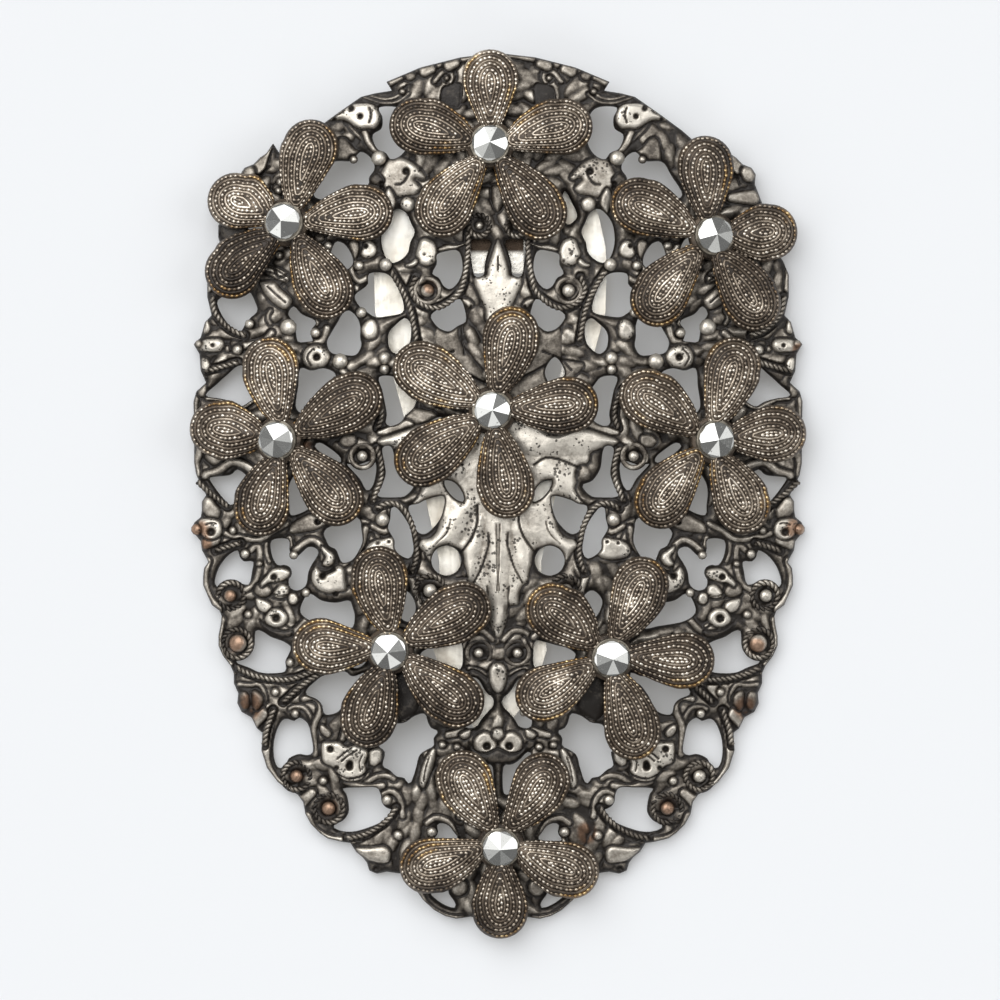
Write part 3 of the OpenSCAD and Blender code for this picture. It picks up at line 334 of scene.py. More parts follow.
# Forms traced over the right half: height, how far in they round, how worn, and corners x, y
FORMS = [
    [0.35, 0.2, 0.08, [[3.3, 36.9], [4.3, 36.9], [5.0, 36.6], [5.2, 35.6], [5.1, 34.9], [4.2, 34.8],
     [3.4, 34.9]]],
    [0.9, 0.5, 0.8, [[5.4, 22.0], [5.7, 22.8], [6.4, 23.15], [7.0, 22.95], [7.3, 22.3], [7.5, 21.6],
     [7.25, 21.1], [7.1, 20.75], [6.6, 20.5], [6.1, 20.55], [5.6, 20.9], [5.4, 21.4]]],
    [0.9, 0.3, 0.8, [[7.4, 21.3], [7.9, 20.9], [8.3, 20.75], [8.3, 20.5], [7.8, 20.4], [7.3, 20.6],
     [7.1, 21.0]]],
    [0.7, 0.3, 0.5, [[2.2, 22.9], [3.3, 22.3], [4.2, 21.9], [5.3, 21.8], [5.4, 22.2], [4.5, 22.6],
     [3.7, 22.5], [2.9, 22.7]]],
    [0.7, 0.6, 0.6, [[9.9, 30.2], [8.6, 30.4], [7.4, 29.8], [6.4, 28.6], [6.7, 28.2], [7.5, 28.4],
     [6.8, 27.6], [7.2, 27.0], [8.0, 26.8], [9.2, 26.6], [10.2, 27.0], [10.6, 28.0], [11.2, 28.4],
     [10.6, 29.0]]],
    [0.9, 0.5, 0.75, [[7.4, 26.4], [7.5, 25.7], [8.0, 25.4], [8.6, 25.5], [8.85, 26.0], [8.7, 26.6],
     [8.1, 26.85]]],
    [0.85, 0.4, 0.55, [[9.2, 26.9], [9.1, 26.1], [9.5, 25.5], [9.9, 25.3], [10.2, 26.0], [10.3, 27.0],
     [9.8, 27.7]]],
    [0.6, 0.5, 0.15, [[11.6, 28.4], [11.3, 27.9], [10.5, 27.7], [10.2, 28.4], [10.9, 29.0]]],
    [0.6, 0.3, 0.5, [[2.1, 17.0], [2.5, 17.6], [3.1, 17.7], [3.4, 17.5], [2.9, 17.0], [2.6, 16.7]]],
    [0.95, 0.5, 0.75, [[16.0, 33.9], [14.75, 34.5], [13.6, 35.0], [12.7, 35.3], [11.55, 35.3],
     [10.8, 34.9], [10.5, 34.1], [10.6, 33.4], [11.1, 32.9], [11.7, 32.9], [12.6, 32.9], [13.8, 33.6],
     [14.9, 33.7]]],
    [0.7, 0.5, 0.3, [[14.5, 32.0], [13.7, 32.2], [12.9, 31.3], [12.4, 30.9], [13.0, 30.3],
     [14.0, 30.0], [14.75, 30.2]]],
    [0.7, 0.4, 0.3, [[8.6, 38.0], [7.9, 38.2], [7.3, 37.9], [7.5, 37.3], [8.2, 37.2]]],
    [0.6, 0.6, 0.04, [[25.3, 24.2], [24.6, 24.6], [23.4, 24.6], [22.5, 24.1], [22.4, 23.2],
     [23.4, 22.7], [24.6, 22.8]]],
    [0.85, 0.7, 0.5, [[21.5, 19.3], [21.4, 18.6], [21.0, 17.9], [20.1, 17.0], [19.2, 16.6],
     [18.6, 17.0], [18.4, 17.6], [18.9, 18.2], [19.5, 18.7], [20.1, 19.3]]],
    [0.8, 0.5, 0.45, [[21.2, 20.6], [20.3, 20.7], [19.3, 20.3], [18.7, 19.7], [18.8, 19.1],
     [19.6, 19.2], [20.8, 19.8]]],
    [0.95, 0.6, 0.72, [[27.6, 13.4], [26.9, 13.9], [26.0, 14.2], [24.9, 14.1], [24.6, 13.5],
     [25.0, 12.9], [26.0, 12.8], [26.9, 13.0]]],
    [0.8, 0.4, 0.5, [[26.3, 16.0], [25.9, 15.3], [26.0, 14.6], [26.6, 14.5], [26.7, 15.3]]],
    [0.8, 0.4, 0.6, [[26.8, 12.4], [26.2, 12.4], [25.9, 11.7], [26.3, 11.0], [26.8, 11.4]]],
    [0.7, 0.5, 0.15, [[24.2, 13.9], [23.5, 14.0], [23.0, 13.4], [23.3, 12.8], [24.1, 12.9]]],
    [0.95, 0.7, 0.6, [[17.7, 12.6], [17.2, 13.4], [16.2, 13.6], [15.3, 13.1], [15.0, 12.3],
     [15.6, 11.4], [16.6, 11.2], [17.5, 11.7]]],
    [0.85, 0.6, 0.7, [[12.4, 14.8], [11.9, 15.7], [11.1, 15.8], [10.7, 15.0], [10.9, 14.1],
     [11.8, 13.9]]],
    [0.9, 0.4, 0.62, [[12.3, 22.2], [11.9, 22.9], [11.2, 22.8], [10.8, 22.1], [11.1, 21.4],
     [11.9, 21.2], [12.4, 21.6]]],
    [0.75, 0.4, 0.3, [[13.5, 22.7], [12.9, 23.1], [12.4, 22.6], [12.5, 21.6], [12.9, 21.1],
     [13.3, 21.8]]],
    [0.6, 0.5, 0.3, [[16.6, 23.5], [15.7, 23.6], [15.5, 22.9], [16.4, 22.6]]],
    [0.6, 0.4, 0.4, [[12.8, 5.4], [12.8, 4.5], [13.8, 4.2], [14.4, 4.8], [13.9, 5.5]]],
    [0.95, 0.5, 0.82, [[9.0, -3.9], [9.6, -3.75], [10.5, -3.9], [11.5, -4.2], [12.0, -4.9],
     [11.7, -5.6], [10.4, -5.9], [9.1, -5.6], [8.8, -4.6]]],
    [0.95, 0.5, 0.72, [[27.0, -2.2], [26.0, -2.0], [25.1, -2.3], [24.8, -2.9], [24.9, -3.6],
     [25.4, -4.0], [26.2, -4.1], [26.8, -3.6], [27.1, -2.9]]],
    [0.7, 0.5, 0.4, [[18.7, -3.5], [18.8, -2.7], [18.0, -2.1], [16.9, -1.6], [15.9, -1.9],
     [15.2, -2.4], [15.9, -3.0], [17.0, -3.4]]],
    [0.6, 0.4, 0.12, [[21.5, -11.2], [21.2, -11.9], [20.4, -12.5], [19.4, -12.9], [18.6, -12.8],
     [18.5, -12.2], [19.4, -12.2], [20.4, -12.1], [21.0, -11.7]]],
    [0.85, 0.5, 0.35, [[21.8, -8.0], [20.9, -7.9], [20.3, -8.6], [20.6, -9.2], [21.4, -9.3],
     [22.1, -8.8]]],
    [0.95, 0.4, 0.65, [[20.9, -7.2], [20.3, -6.6], [19.4, -6.5], [18.7, -6.8], [18.7, -7.3],
     [19.2, -7.7], [19.9, -7.9], [20.6, -8.0], [21.3, -8.4], [21.5, -7.9]]],
    [0.95, 0.4, 0.8, [[19.6, -8.0], [18.9, -8.2], [18.8, -8.9], [19.3, -9.3], [20.0, -9.3],
     [20.3, -8.8]]],
    [0.9, 0.4, 0.8, [[21.9, -9.3], [21.0, -9.4], [20.4, -9.8], [20.4, -10.4], [21.0, -10.7],
     [21.7, -10.3]]],
    [0.85, 0.3, 0.5, [[18.8, -8.8], [18.2, -8.8], [17.9, -9.4], [18.2, -9.9], [18.7, -9.9],
     [19.0, -9.4]]],
    [0.95, 0.4, 0.82, [[20.9, -10.7], [20.4, -10.2], [19.6, -10.2], [19.0, -10.7], [18.9, -11.3],
     [19.3, -11.8], [20.0, -12.0], [20.8, -11.7], [21.1, -11.2]]],
    [0.9, 0.5, 0.8, [[16.4, -6.4], [16.8, -7.0], [16.8, -7.8], [16.3, -8.5], [15.4, -8.9],
     [14.5, -8.8], [13.6, -8.6], [13.6, -7.6], [13.8, -6.6], [14.5, -6.3], [15.0, -6.8], [15.8, -6.9]]],
    [0.95, 0.4, 0.65, [[15.9, -4.5], [15.2, -4.9], [14.7, -5.3], [14.6, -5.9], [15.0, -6.4],
     [15.5, -6.5], [15.9, -6.2], [15.6, -5.6], [15.9, -5.1]]],
    [0.9, 0.5, 0.15, [[23.4, -17.9], [22.8, -17.6], [22.3, -18.2], [22.4, -19.2], [23.0, -19.5],
     [23.5, -18.8]]],
    [0.9, 0.5, 0.18, [[22.3, -17.7], [21.7, -17.6], [21.1, -18.2], [21.2, -19.0], [21.8, -19.6],
     [22.3, -19.0]]],
    [0.75, 0.4, 0.45, [[16.0, -20.6], [15.3, -20.9], [14.9, -21.5], [15.3, -22.0], [15.9, -21.7],
     [16.2, -21.1]]],
    [0.95, 0.5, 0.72, [[15.9, -22.3], [15.2, -22.2], [14.3, -22.2], [13.5, -22.6], [12.8, -22.4],
     [11.9, -22.8], [11.6, -23.4], [11.9, -24.2], [11.8, -24.9], [12.2, -25.6], [13.0, -25.9],
     [14.0, -25.8], [14.5, -25.2], [15.0, -24.6], [15.8, -24.2], [16.0, -23.3]]],
    [0.95, 0.4, 0.8, [[11.6, -23.0], [10.9, -22.7], [10.4, -23.1], [10.5, -24.0], [11.1, -24.5],
     [11.6, -24.3], [11.7, -23.6]]],
    [0.85, 0.5, 0.55, [[12.9, -31.8], [11.5, -31.7], [10.2, -31.6], [9.6, -32.2], [9.8, -33.2],
     [10.8, -33.3], [11.8, -33.0], [12.6, -32.4]]],
    [0.6, 0.8, 0.06, [[9.6, -16.4], [8.2, -15.6], [7.2, -17.0], [7.0, -19.0], [7.8, -19.9],
     [8.9, -20.3], [9.8, -19.4], [9.9, -17.8]]],
    [0.85, 0.5, 0.6, [[5.6, -22.8], [6.2, -23.0], [6.9, -24.4], [7.2, -26.0], [6.6, -26.5],
     [6.0, -25.2], [5.6, -24.0]]],
    [0.8, 0.5, 0.55, [[1.15, -21.2], [2.0, -21.6], [2.3, -22.4], [2.0, -23.3], [1.2, -23.7],
     [0.4, -23.5], [0.05, -22.8], [0.2, -21.8]]],
    [0.8, 0.4, 0.5, [[2.4, -21.0], [3.1, -21.1], [3.6, -21.6], [3.1, -22.1], [2.5, -21.8]]],
]

# Soft swellings of the leaves: rise, then points x, y, half width
CROWNS = [
    [0.22, [[0.0, -1.0, 1.3], [0.0, -6.0, 1.0], [0.0, -11.5, 0.6]]],
    [0.18, [[1.6, -2.2, 0.5], [2.3, -5.5, 0.7], [2.6, -7.5, 0.4]]],
    [0.22, [[3.2, -1.2, 1.0], [4.4, -3.6, 1.1], [6.2, -4.8, 0.7]]],
    [0.22, [[4.0, 2.2, 1.1], [6.2, 0.6, 1.1], [7.6, -0.8, 0.4]]],
    [0.22, [[3.0, 4.9, 1.4], [7.0, 4.9, 1.3], [10.6, 4.8, 0.4]]],
]

# Leaf blades: centre line points x, y, half width, then the height of the
# middle and how worn it is
BLADES = [
    [[[0.0, 16.8, 1.6], [0.0, 14.5, 2.4], [0.0, 11.5, 3.2], [0.0, 8.0, 3.0]], 0.6, 0.3],
    [[[3.4, 16.8, 0.5], [4.6, 14.6, 1.1], [4.2, 12.4, 1.5], [2.4, 10.0, 1.6]], 0.65, 0.4],
    [[[7.4, 11.6, 0.4], [5.6, 10.9, 1.2], [3.6, 9.4, 1.7], [1.6, 8.6, 1.5]], 0.6, 0.45],
]

# Smooth wires and scrolls: radius, then points x, y
WIRES = [
    [0.16, [[5.4, 37.1], [5.4, 38.0], [4.7, 38.4], [4.0, 38.1], [3.9, 37.4], [4.4, 37.1], [4.9, 37.4]]],
    [0.14, [[12.2, 35.6], [11.3, 35.2], [10.6, 35.1]]],
    [0.16, [[12.3, 36.2], [11.5, 35.9], [10.3, 35.6], [9.2, 35.8], [8.4, 36.5]]],
    [0.14, [[12.3, 35.9], [11.4, 35.55], [10.3, 35.25], [9.0, 35.4], [8.1, 36.1]]],
    [0.18, [[14.0, 34.2], [13.2, 33.0], [11.8, 31.6]]],
    [0.16, [[13.4, 34.4], [12.5, 33.2], [11.3, 31.9]]],
    [0.2, [[20.5, 16.6], [20.8, 16.0], [20.5, 15.4]]],
    [0.25, [[10.8, -3.8], [11.2, -2.9], [12.0, -2.4], [12.8, -2.3]]],
    [0.3, [[18.8, -3.9], [18.7, -4.5], [18.4, -5.1]]],
    [0.22, [[23.4, -17.1], [22.4, -17.2], [21.6, -17.1], [21.1, -17.8], [21.0, -18.5], [21.5, -19.3]]],
    [0.2, [[18.8, -19.3], [18.2, -19.1], [17.5, -19.2], [17.0, -19.8], [16.6, -20.8]]],
    [0.28, [[11.9, -26.0], [11.0, -25.4], [10.0, -25.3], [9.4, -25.6]]],
    [0.16, [[14.7, -29.8], [14.3, -30.3], [13.4, -30.5], [12.2, -30.2], [10.5, -29.4], [9.6, -28.7]]],
    [0.25, [[26.9, -0.3], [26.8, -1.2], [26.4, -1.9]]],
    [0.22, [[2.6, -15.6], [1.7, -15.8], [0.9, -16.3]]],
    [0.25, [[12.3, 19.2], [12.8, 18.7], [12.4, 18.0]]],
    [0.2, [[21.5, -4.7], [21.6, -5.5], [21.4, -6.3]]],
    [0.2, [[20.9, -4.3], [20.9, -5.2], [20.6, -6.0]]],
    [0.32, [[0.0, 39.6], [1.6, 39.5], [3.2, 39.2], [5.0, 38.8], [8.0, 37.9], [9.7, 37.1]]],
    [0.25, [[5.7, 37.2], [4.9, 38.1], [4.1, 37.8], [4.3, 37.2]]],
    [0.4, [[26.9, 10.0], [27.3, 8.8], [27.4, 7.4], [27.1, 5.6], [26.9, 4.0], [27.3, 2.8], [26.9, 1.0]]],
    [0.42, [[26.2, 8.9], [25.0, 8.8], [23.6, 8.0], [22.4, 8.5], [21.6, 9.4]]],
    [0.42, [[26.4, 1.8], [25.2, 2.2], [24.0, 3.0], [22.6, 2.6], [21.8, 1.8]]],
    [0.35, [[16.4, 15.5], [17.2, 15.2], [17.3, 14.3], [16.6, 13.7], [15.7, 14.0], [15.4, 15.0]]],
    [0.3, [[12.9, 21.2], [13.2, 20.2], [12.6, 19.2], [11.8, 19.5]]],
    [0.34, [[9.0, 31.0], [10.2, 30.6], [11.4, 31.4], [12.0, 32.6]]],
    [0.34, [[20.0, 27.6], [19.0, 28.6], [18.9, 30.2], [19.6, 31.2]]],
    [0.36, [[15.6, 23.7], [16.3, 23.0], [16.0, 22.1], [15.1, 21.9]]],
    [0.34, [[24.6, 26.6], [25.4, 24.0], [26.2, 21.0], [26.1, 18.6]]],
    [0.45, [[26.3, -6.0], [26.6, -7.5], [26.3, -9.0], [25.3, -10.3]]],
    [0.42, [[25.0, -11.3], [25.3, -13.2], [24.9, -14.8], [23.8, -15.8]]],
    [0.4, [[20.4, -19.5], [20.8, -21.5], [21.0, -23.0], [20.8, -24.5], [20.0, -25.8], [18.8, -26.7]]],
    [0.4, [[17.2, -29.0], [16.7, -30.2], [15.5, -31.0], [14.2, -31.2], [12.5, -30.9], [11.0, -30.0]]],
    [0.4, [[7.2, -34.6], [7.2, -35.6], [6.6, -37.0], [5.0, -38.1], [3.2, -38.4], [0.0, -38.5]]],
    [0.3, [[22.3, -5.0], [21.6, -4.5], [21.5, -6.5], [22.0, -8.0], [22.9, -8.6]]],
    [0.32, [[18.3, -5.0], [17.6, -4.4], [16.7, -4.0], [15.9, -4.6], [15.7, -5.8]]],
    [0.32, [[17.5, -18.4], [16.6, -18.2], [16.0, -18.8], [16.1, -19.7], [16.6, -21.0], [16.5, -23.4]]],
    [0.3, [[6.4, -29.6], [5.6, -29.1], [4.4, -29.5], [3.8, -30.8]]],
    [0.3, [[10.5, -27.1], [9.6, -26.7], [8.8, -27.5], [8.6, -29.0]]],
    [0.3, [[12.9, 4.2], [13.3, 3.2], [12.4, 2.5], [11.3, 3.0], [11.3, 4.2]]],
    [0.3, [[9.6, -1.3], [9.4, -2.6], [10.2, -3.3], [11.3, -2.8]]],
    [0.3, [[3.2, -13.6], [2.6, -12.4], [1.4, -12.2], [0.5, -13.0]]],
    [0.34, [[14.0, 11.2], [13.0, 10.0], [12.4, 8.6], [12.6, 7.0]]],
    [0.34, [[20.4, 14.6], [21.2, 13.8], [22.6, 13.5], [24.4, 13.2]]],
    [0.34, [[14.4, -6.6], [13.2, -5.6], [12.2, -4.4], [11.9, -3.0]]],
    [0.34, [[7.9, -7.4], [6.6, -10.6], [4.6, -11.6], [3.2, -12.8]]],
    [0.34, [[13.8, -25.8], [12.0, -26.4], [10.4, -26.2]]],
    [0.34, [[3.4, -23.0], [2.6, -25.2], [2.8, -27.4], [3.4, -29.0]]],
    [0.34, [[3.4, -17.2], [5.4, -17.4], [7.4, -17.0]]],
    [0.34, [[5.8, -31.2], [6.6, -32.6], [7.4, -34.0]]],
    [0.3, [[19.0, -2.6], [20.2, -3.2], [21.4, -4.0], [23.0, -3.9], [24.8, -3.4]]],
    [0.34, [[16.4, -9.8], [17.4, -11.4], [18.6, -12.4], [19.6, -11.8]]],
    [0.34, [[15.4, -15.4], [14.6, -17.0], [13.6, -20.0], [14.0, -22.0]]],
]

# Roped wires of the right half: points x, y
ROPES = [
    [[25.8, 17.9], [25.6, 16.6], [24.9, 15.6], [23.9, 14.8], [22.8, 14.4]],
    [[25.5, -5.0], [24.3, -4.6], [23.2, -4.3]],
    [[9.6, 20.1], [8.6, 18.4], [7.9, 16.8], [7.6, 15.4], [7.3, 13.8]],
    [[7.4, 19.6], [7.8, 18.4], [7.0, 17.2], [5.6, 16.8], [4.3, 17.4], [3.3, 18.5], [2.9, 20.2],
     [2.7, 22.0], [2.7, 23.6]],
    [[10.9, 4.3], [10.5, 3.0], [10.5, 1.5], [11.0, 0.2], [11.3, -0.6]],
    [[10.9, -1.2], [10.1, -0.8], [9.2, -0.8], [8.3, -1.5], [7.6, -3.1], [7.3, -4.8], [7.4, -6.0],
     [7.8, -7.0]],
    [[23.6, -15.6], [22.3, -16.2], [20.5, -16.6], [18.6, -16.6], [16.5, -15.8]],
    [[19.4, -18.7], [18.2, -17.6], [16.9, -16.6], [15.6, -15.9]],
    [[20.3, -19.4], [20.9, -21.2], [21.1, -22.6]],
    [[13.6, -31.0], [12.2, -30.7], [11.0, -30.1], [9.9, -29.2], [9.2, -28.2]],
    [[27.1, 1.2], [25.9, 0.1], [24.4, -1.0]],
    [[12.6, 10.4], [11.2, 9.4], [10.6, 8.2], [10.5, 7.0], [10.8, 6.0]],
    [[26.6, 11.2], [25.6, 11.4], [24.5, 11.7], [23.5, 12.0]],
    [[14.6, 10.6], [13.8, 8.8], [13.8, 7.0]],
    [[14.0, 19.0], [15.2, 17.8], [16.2, 16.4]],
]

# Balls of the right half: x, y, radius
BALLS = [
    [4.6, 37.5, 0.3], [8.6, 36.3, 0.32], [10.7, 30.3, 0.72], [15.3, 22.4, 0.45],
    [19.6, 28.2, 0.45], [19.8, 27.4, 0.4], [19.7, 21.6, 0.42], [22.4, 15.4, 0.45],
    [18.9, 15.1, 0.8], [27.0, 13.6, 0.42], [23.5, 13.1, 0.5], [16.4, 14.6, 0.5],
    [14.2, 12.0, 0.75], [12.5, 20.6, 0.5], [10.1, 20.7, 0.6], [6.35, 18.35, 0.62],
    [12.3, 16.4, 0.5], [10.2, 12.3, 0.62], [10.2, 11.3, 0.48], [12.2, 3.5, 0.5],
    [10.4, -2.2, 0.65], [27.2, -3.1, 0.55], [23.9, -3.2, 0.42], [22.8, -5.3, 0.45],
    [24.2, -9.1, 0.6], [22.5, -10.8, 0.45], [23.5, -13.4, 0.85], [17.3, -8.8, 0.42],
    [18.4, -5.4, 0.42], [18.7, -15.1, 0.42], [20.1, -17.8, 0.45], [18.3, -19.7, 0.42],
    [18.2, -25.4, 0.6], [15.3, -28.3, 0.65], [15.8, -25.8, 0.45], [1.7, 24.2, 0.42],
    [6.1, -8.6, 0.65], [1.75, -14.2, 0.48], [5.0, -22.5, 0.4], [3.7, -22.7, 0.4],
    [10.0, -27.5, 0.5], [6.0, -30.4, 0.5], [9.0, -30.7, 0.5], [21.5, -6.2, 0.35],
    [13.0, 30.2, 0.4], [16.2, 20.2, 0.4], [12.9, 8.4, 0.45], [2.3, -19.6, 0.35],
]

# Rings round eyes: x, y, radius, and 1 where the wire is roped
RINGS = [
    [24.1, -9.1, 1.2, 1], [23.6, -13.4, 1.3, 1], [18.2, -25.4, 1.25, 1], [15.3, -28.3, 1.3, 1],
    [6.35, 18.35, 1.1, 0], [1.7, 24.2, 0.95, 1], [6.1, -8.6, 1.35, 1], [1.7, -14.2, 1.1, 0],
    [12.2, 3.5, 1.05, 0],
]

# Pits: x, y, radius, depth
PITS = [
    [13.2, 34.8, 0.35, 0.5], [12.4, 34.07, 0.3, 0.4], [14.75, 33.9, 0.3, 0.3], [8.25, 29.1, 0.38, 0.45],
    [10.4, 27.6, 0.3, 0.4], [10.5, 28.0, 0.25, 0.3], [16.3, 12.4, 0.38, 0.5], [14.2, 12.0, 0.25, 0.3],
    [18.9, 15.1, 0.3, 0.4], [12.3, 16.4, 0.22, 0.3], [25.9, -3.35, 0.48, 0.5], [20.2, -7.4, 0.38, 0.5],
    [20.0, -11.1, 0.48, 0.6], [15.8, -7.3, 0.42, 0.5], [14.6, -8.9, 0.3, 0.4], [16.2, -2.4, 0.35, 0.4],
    [15.1, -22.9, 0.38, 0.5], [14.55, -24.6, 0.28, 0.4], [13.4, -24.5, 0.42, 0.5],
    [13.35, -24.2, 0.36, 0.4], [1.0, -22.6, 0.42, 0.55], [11.9, 22.4, 0.28, 0.35],
    [11.0, -33.7, 0.35, 0.35], [25.75, 13.5, 0.25, 0.3], [12.7, 20.4, 0.3, 0.3], [9.8, -4.2, 0.22, 0.3],
    [10.8, -4.3, 0.22, 0.3], [5.9, 21.0, 0.16, 0.2], [6.6, 21.6, 0.14, 0.2], [8.2, 36.8, 0.2, 0.2],
]

# Engraved lines: half width, depth, then points x, y
GROOVES = [
    [0.13, 0.2, [[3.2, 2.7], [4.3, 3.35], [5.6, 3.15], [6.6, 2.75], [7.4, 2.4]]],
    [0.14, 0.22, [[1.85, -0.9], [1.9, -2.6], [2.4, -3.9], [3.3, -5.15]]],
    [0.11, 0.14, [[0.9, -3.4], [0.85, -4.4], [1.1, -5.4], [1.5, -6.6], [2.2, -7.9]]],
    [0.09, 0.1, [[0.15, -2.6], [0.1, -6.0], [-0.1, -8.6]]],
    [0.09, 0.1, [[4.3, -2.4], [4.6, -3.4], [5.6, -4.4]]],
    [0.1, 0.12, [[1.0, -8.2], [0.9, -9.2], [1.0, -10.2]]],
    [0.1, 0.2, [[0.0, 21.4], [0.0, 20.7], [0.0, 20.2]]],
    [0.12, 0.2, [[2.4, 17.0], [3.2, 15.0], [3.0, 12.6]]],
    [0.12, 0.2, [[4.0, 12.9], [5.6, 12.2], [6.6, 11.2]]],
    [0.2, 0.3, [[15.8, -7.3], [15.3, -7.0], [14.7, -6.7]]],
    [0.08, 0.14, [[19.0, -9.0], [19.7, -9.1], [20.3, -8.9]]],
    [0.08, 0.14, [[18.9, -9.4], [19.7, -9.5], [20.4, -9.3]]],
    [0.1, 0.16, [[14.5, -23.8], [13.9, -23.3], [13.2, -22.8]]],
    [0.1, 0.16, [[14.1, -24.0], [13.5, -23.5], [12.7, -23.0]]],
    [0.1, 0.16, [[14.4, -25.2], [13.4, -25.6], [12.3, -25.3]]],
    [0.09, 0.14, [[12.4, -24.9], [12.5, -24.1], [12.2, -23.4]]],
    [0.09, 0.14, [[19.0, 19.7], [20.0, 20.3], [20.9, 20.6]]],
    [0.09, 0.14, [[19.0, 19.3], [20.1, 19.9], [21.0, 20.2]]],
    [0.1, 0.16, [[19.1, 17.3], [19.8, 17.9], [20.8, 18.8]]],
    [0.12, 0.2, [[8.0, 28.9], [8.4, 28.2], [8.8, 27.9], [9.2, 27.9]]],
    [0.09, 0.14, [[13.8, 34.6], [14.4, 34.2], [15.2, 33.9]]],
    [0.12, 0.2, [[11.6, 34.9], [11.4, 34.2], [11.6, 33.5]]],
    [0.09, 0.14, [[12.2, 22.2], [12.4, 21.7], [12.6, 21.2]]],
    [0.1, 0.16, [[16.6, 13.2], [17.2, 12.4], [16.8, 11.6]]],
    [0.1, 0.16, [[25.4, -2.6], [25.8, -2.5], [26.4, -2.7]]],
    [0.09, 0.14, [[6.2, -23.6], [6.5, -24.6], [6.7, -25.8]]],
    [0.16, 0.25, [[12.4, 36.0], [12.9, 35.6], [13.6, 35.2]]],
    [0.15, 0.22, [[20.6, 29.6], [21.4, 28.9], [21.8, 28.0]]],
    [0.15, 0.22, [[20.2, 20.6], [19.8, 19.6], [19.0, 19.8]]],
    [0.15, 0.22, [[13.4, -25.6], [12.4, -25.4], [11.6, -24.8]]],
]

# Bright patches of the sky: direction, half angles of the full and the faded part
# in degrees, strength. The rest of the sky is dim.
SKY_PATCHES = [
    ((-0.30, 0.45, 0.84), 16, 44, 2.9), ((0.75, 0.15, 0.62), 8, 26, 2.2),
    ((-0.75, -0.30, 0.58), 6, 22, 1.5), ((0.15, -0.72, 0.68), 5, 20, 1.1),
]
DIM_SKY = 0.13
SKY_TINT = (0.985, 0.993, 1.0)
SKY_STRENGTH = 1.12
# The floor, in metres, its colour and its faint glow
FLOOR_SIZE = 0.6
FLOOR_SHADE = (0.605, 0.62, 0.642)
FLOOR_GLOW = (0.165, 0.16, 0.15)

# Copper that shows through the worn plate: x, y, radius
COPPER = [
    [-27.0, -3.2, 1.3], [-26.5, -4.4, 1.0], [-23.6, -13.4, 1.1], [-24.1, -9.1, 0.8],
    [-22.4, -19.0, 1.6], [-15.3, -28.4, 1.1], [-18.2, -25.4, 0.9], [-6.1, 18.6, 0.8],
    [-17.2, 4.0, 1.2], [26.8, -3.0, 1.2], [23.4, -13.6, 1.0], [22.3, -19.2, 1.3],
    [15.4, -28.2, 1.0], [8.0, -30.5, 1.2], [-15.9, 25.2, 1.0], [27.2, 13.0, 0.9],
]


def dome_z(x, y):
    """Height of the plate's middle surface."""
    across = SIDE_DROP * (x / DOME_HALF_W) ** 2
    return CROWN_Z - across - END_DROP * ((y - CROWN_Y) / DOME_HALF_L) ** 2


def dome_stand(x, y):
    """The place and lean of something that stands on the dome."""
    slope_x = -2 * SIDE_DROP * x / DOME_HALF_W ** 2
    slope_y = -2 * END_DROP * (y - CROWN_Y) / DOME_HALF_L ** 2
    up = Vector((-slope_x, -slope_y, 1))
    lean = Vector((0, 0, 1)).rotation_difference(up).to_matrix().to_4x4()
    return Matrix.Translation((x, y, dome_z(x, y))) @ lean


class Part:
    """Points in mm, faces as corners and sizes, and named marks on the points."""

    def __init__(self, points, corners, sizes, **marks):
        self.points = points
        self.corners = corners
        self.sizes = sizes
        self.marks = {name: np.broadcast_to(mark, len(points)) for name, mark in marks.items()}


def part_of(mesh, **marks):
    points = np.empty(len(mesh.vertices) * 3)
    mesh.vertices.foreach_get("co", points)
    corners = np.empty(len(mesh.loops), int)
    mesh.loops.foreach_get("vertex_index", corners)
    sizes = np.empty(len(mesh.polygons), int)
    mesh.polygons.foreach_get("loop_total", sizes)
    bpy.data.meshes.remove(mesh)
    return Part(points.reshape(-1, 3), corners, sizes, **marks)


def part_from(bm, **marks):
    mesh = bpy.data.meshes.new("part")
    bm.to_mesh(mesh)
    bm.free()
    return part_of(mesh, **marks)


def joined(parts):
    starts = np.cumsum([0] + [len(p.points) for p in parts[:-1]])
    marks = {name: np.concatenate([p.marks[name] for p in parts]) for name in parts[0].marks}
    return Part(
        np.concatenate([p.points for p in parts]),
        np.concatenate([p.corners + start for p, start in zip(parts, starts)]),
        np.concatenate([p.sizes for p in parts]),
        **marks,
    )


def repeated(part, places, headings):
    """Copies of a small part, each turned to its heading and moved to its place."""
    count = len(places)
    x, y, z = part.points.T
    c, s = headings.T[:, :, None]
    points = np.stack([x * c - y * s, x * s + y * c, np.broadcast_to(z, (count, len(z)))], axis=-1)
    points += np.asarray(places)[:, None]
    steps = np.arange(count) * len(part.points)
    corners = (part.corners[None] + steps[:, None]).ravel()
    return points.reshape(-1, 3), corners, np.tile(part.sizes, count)


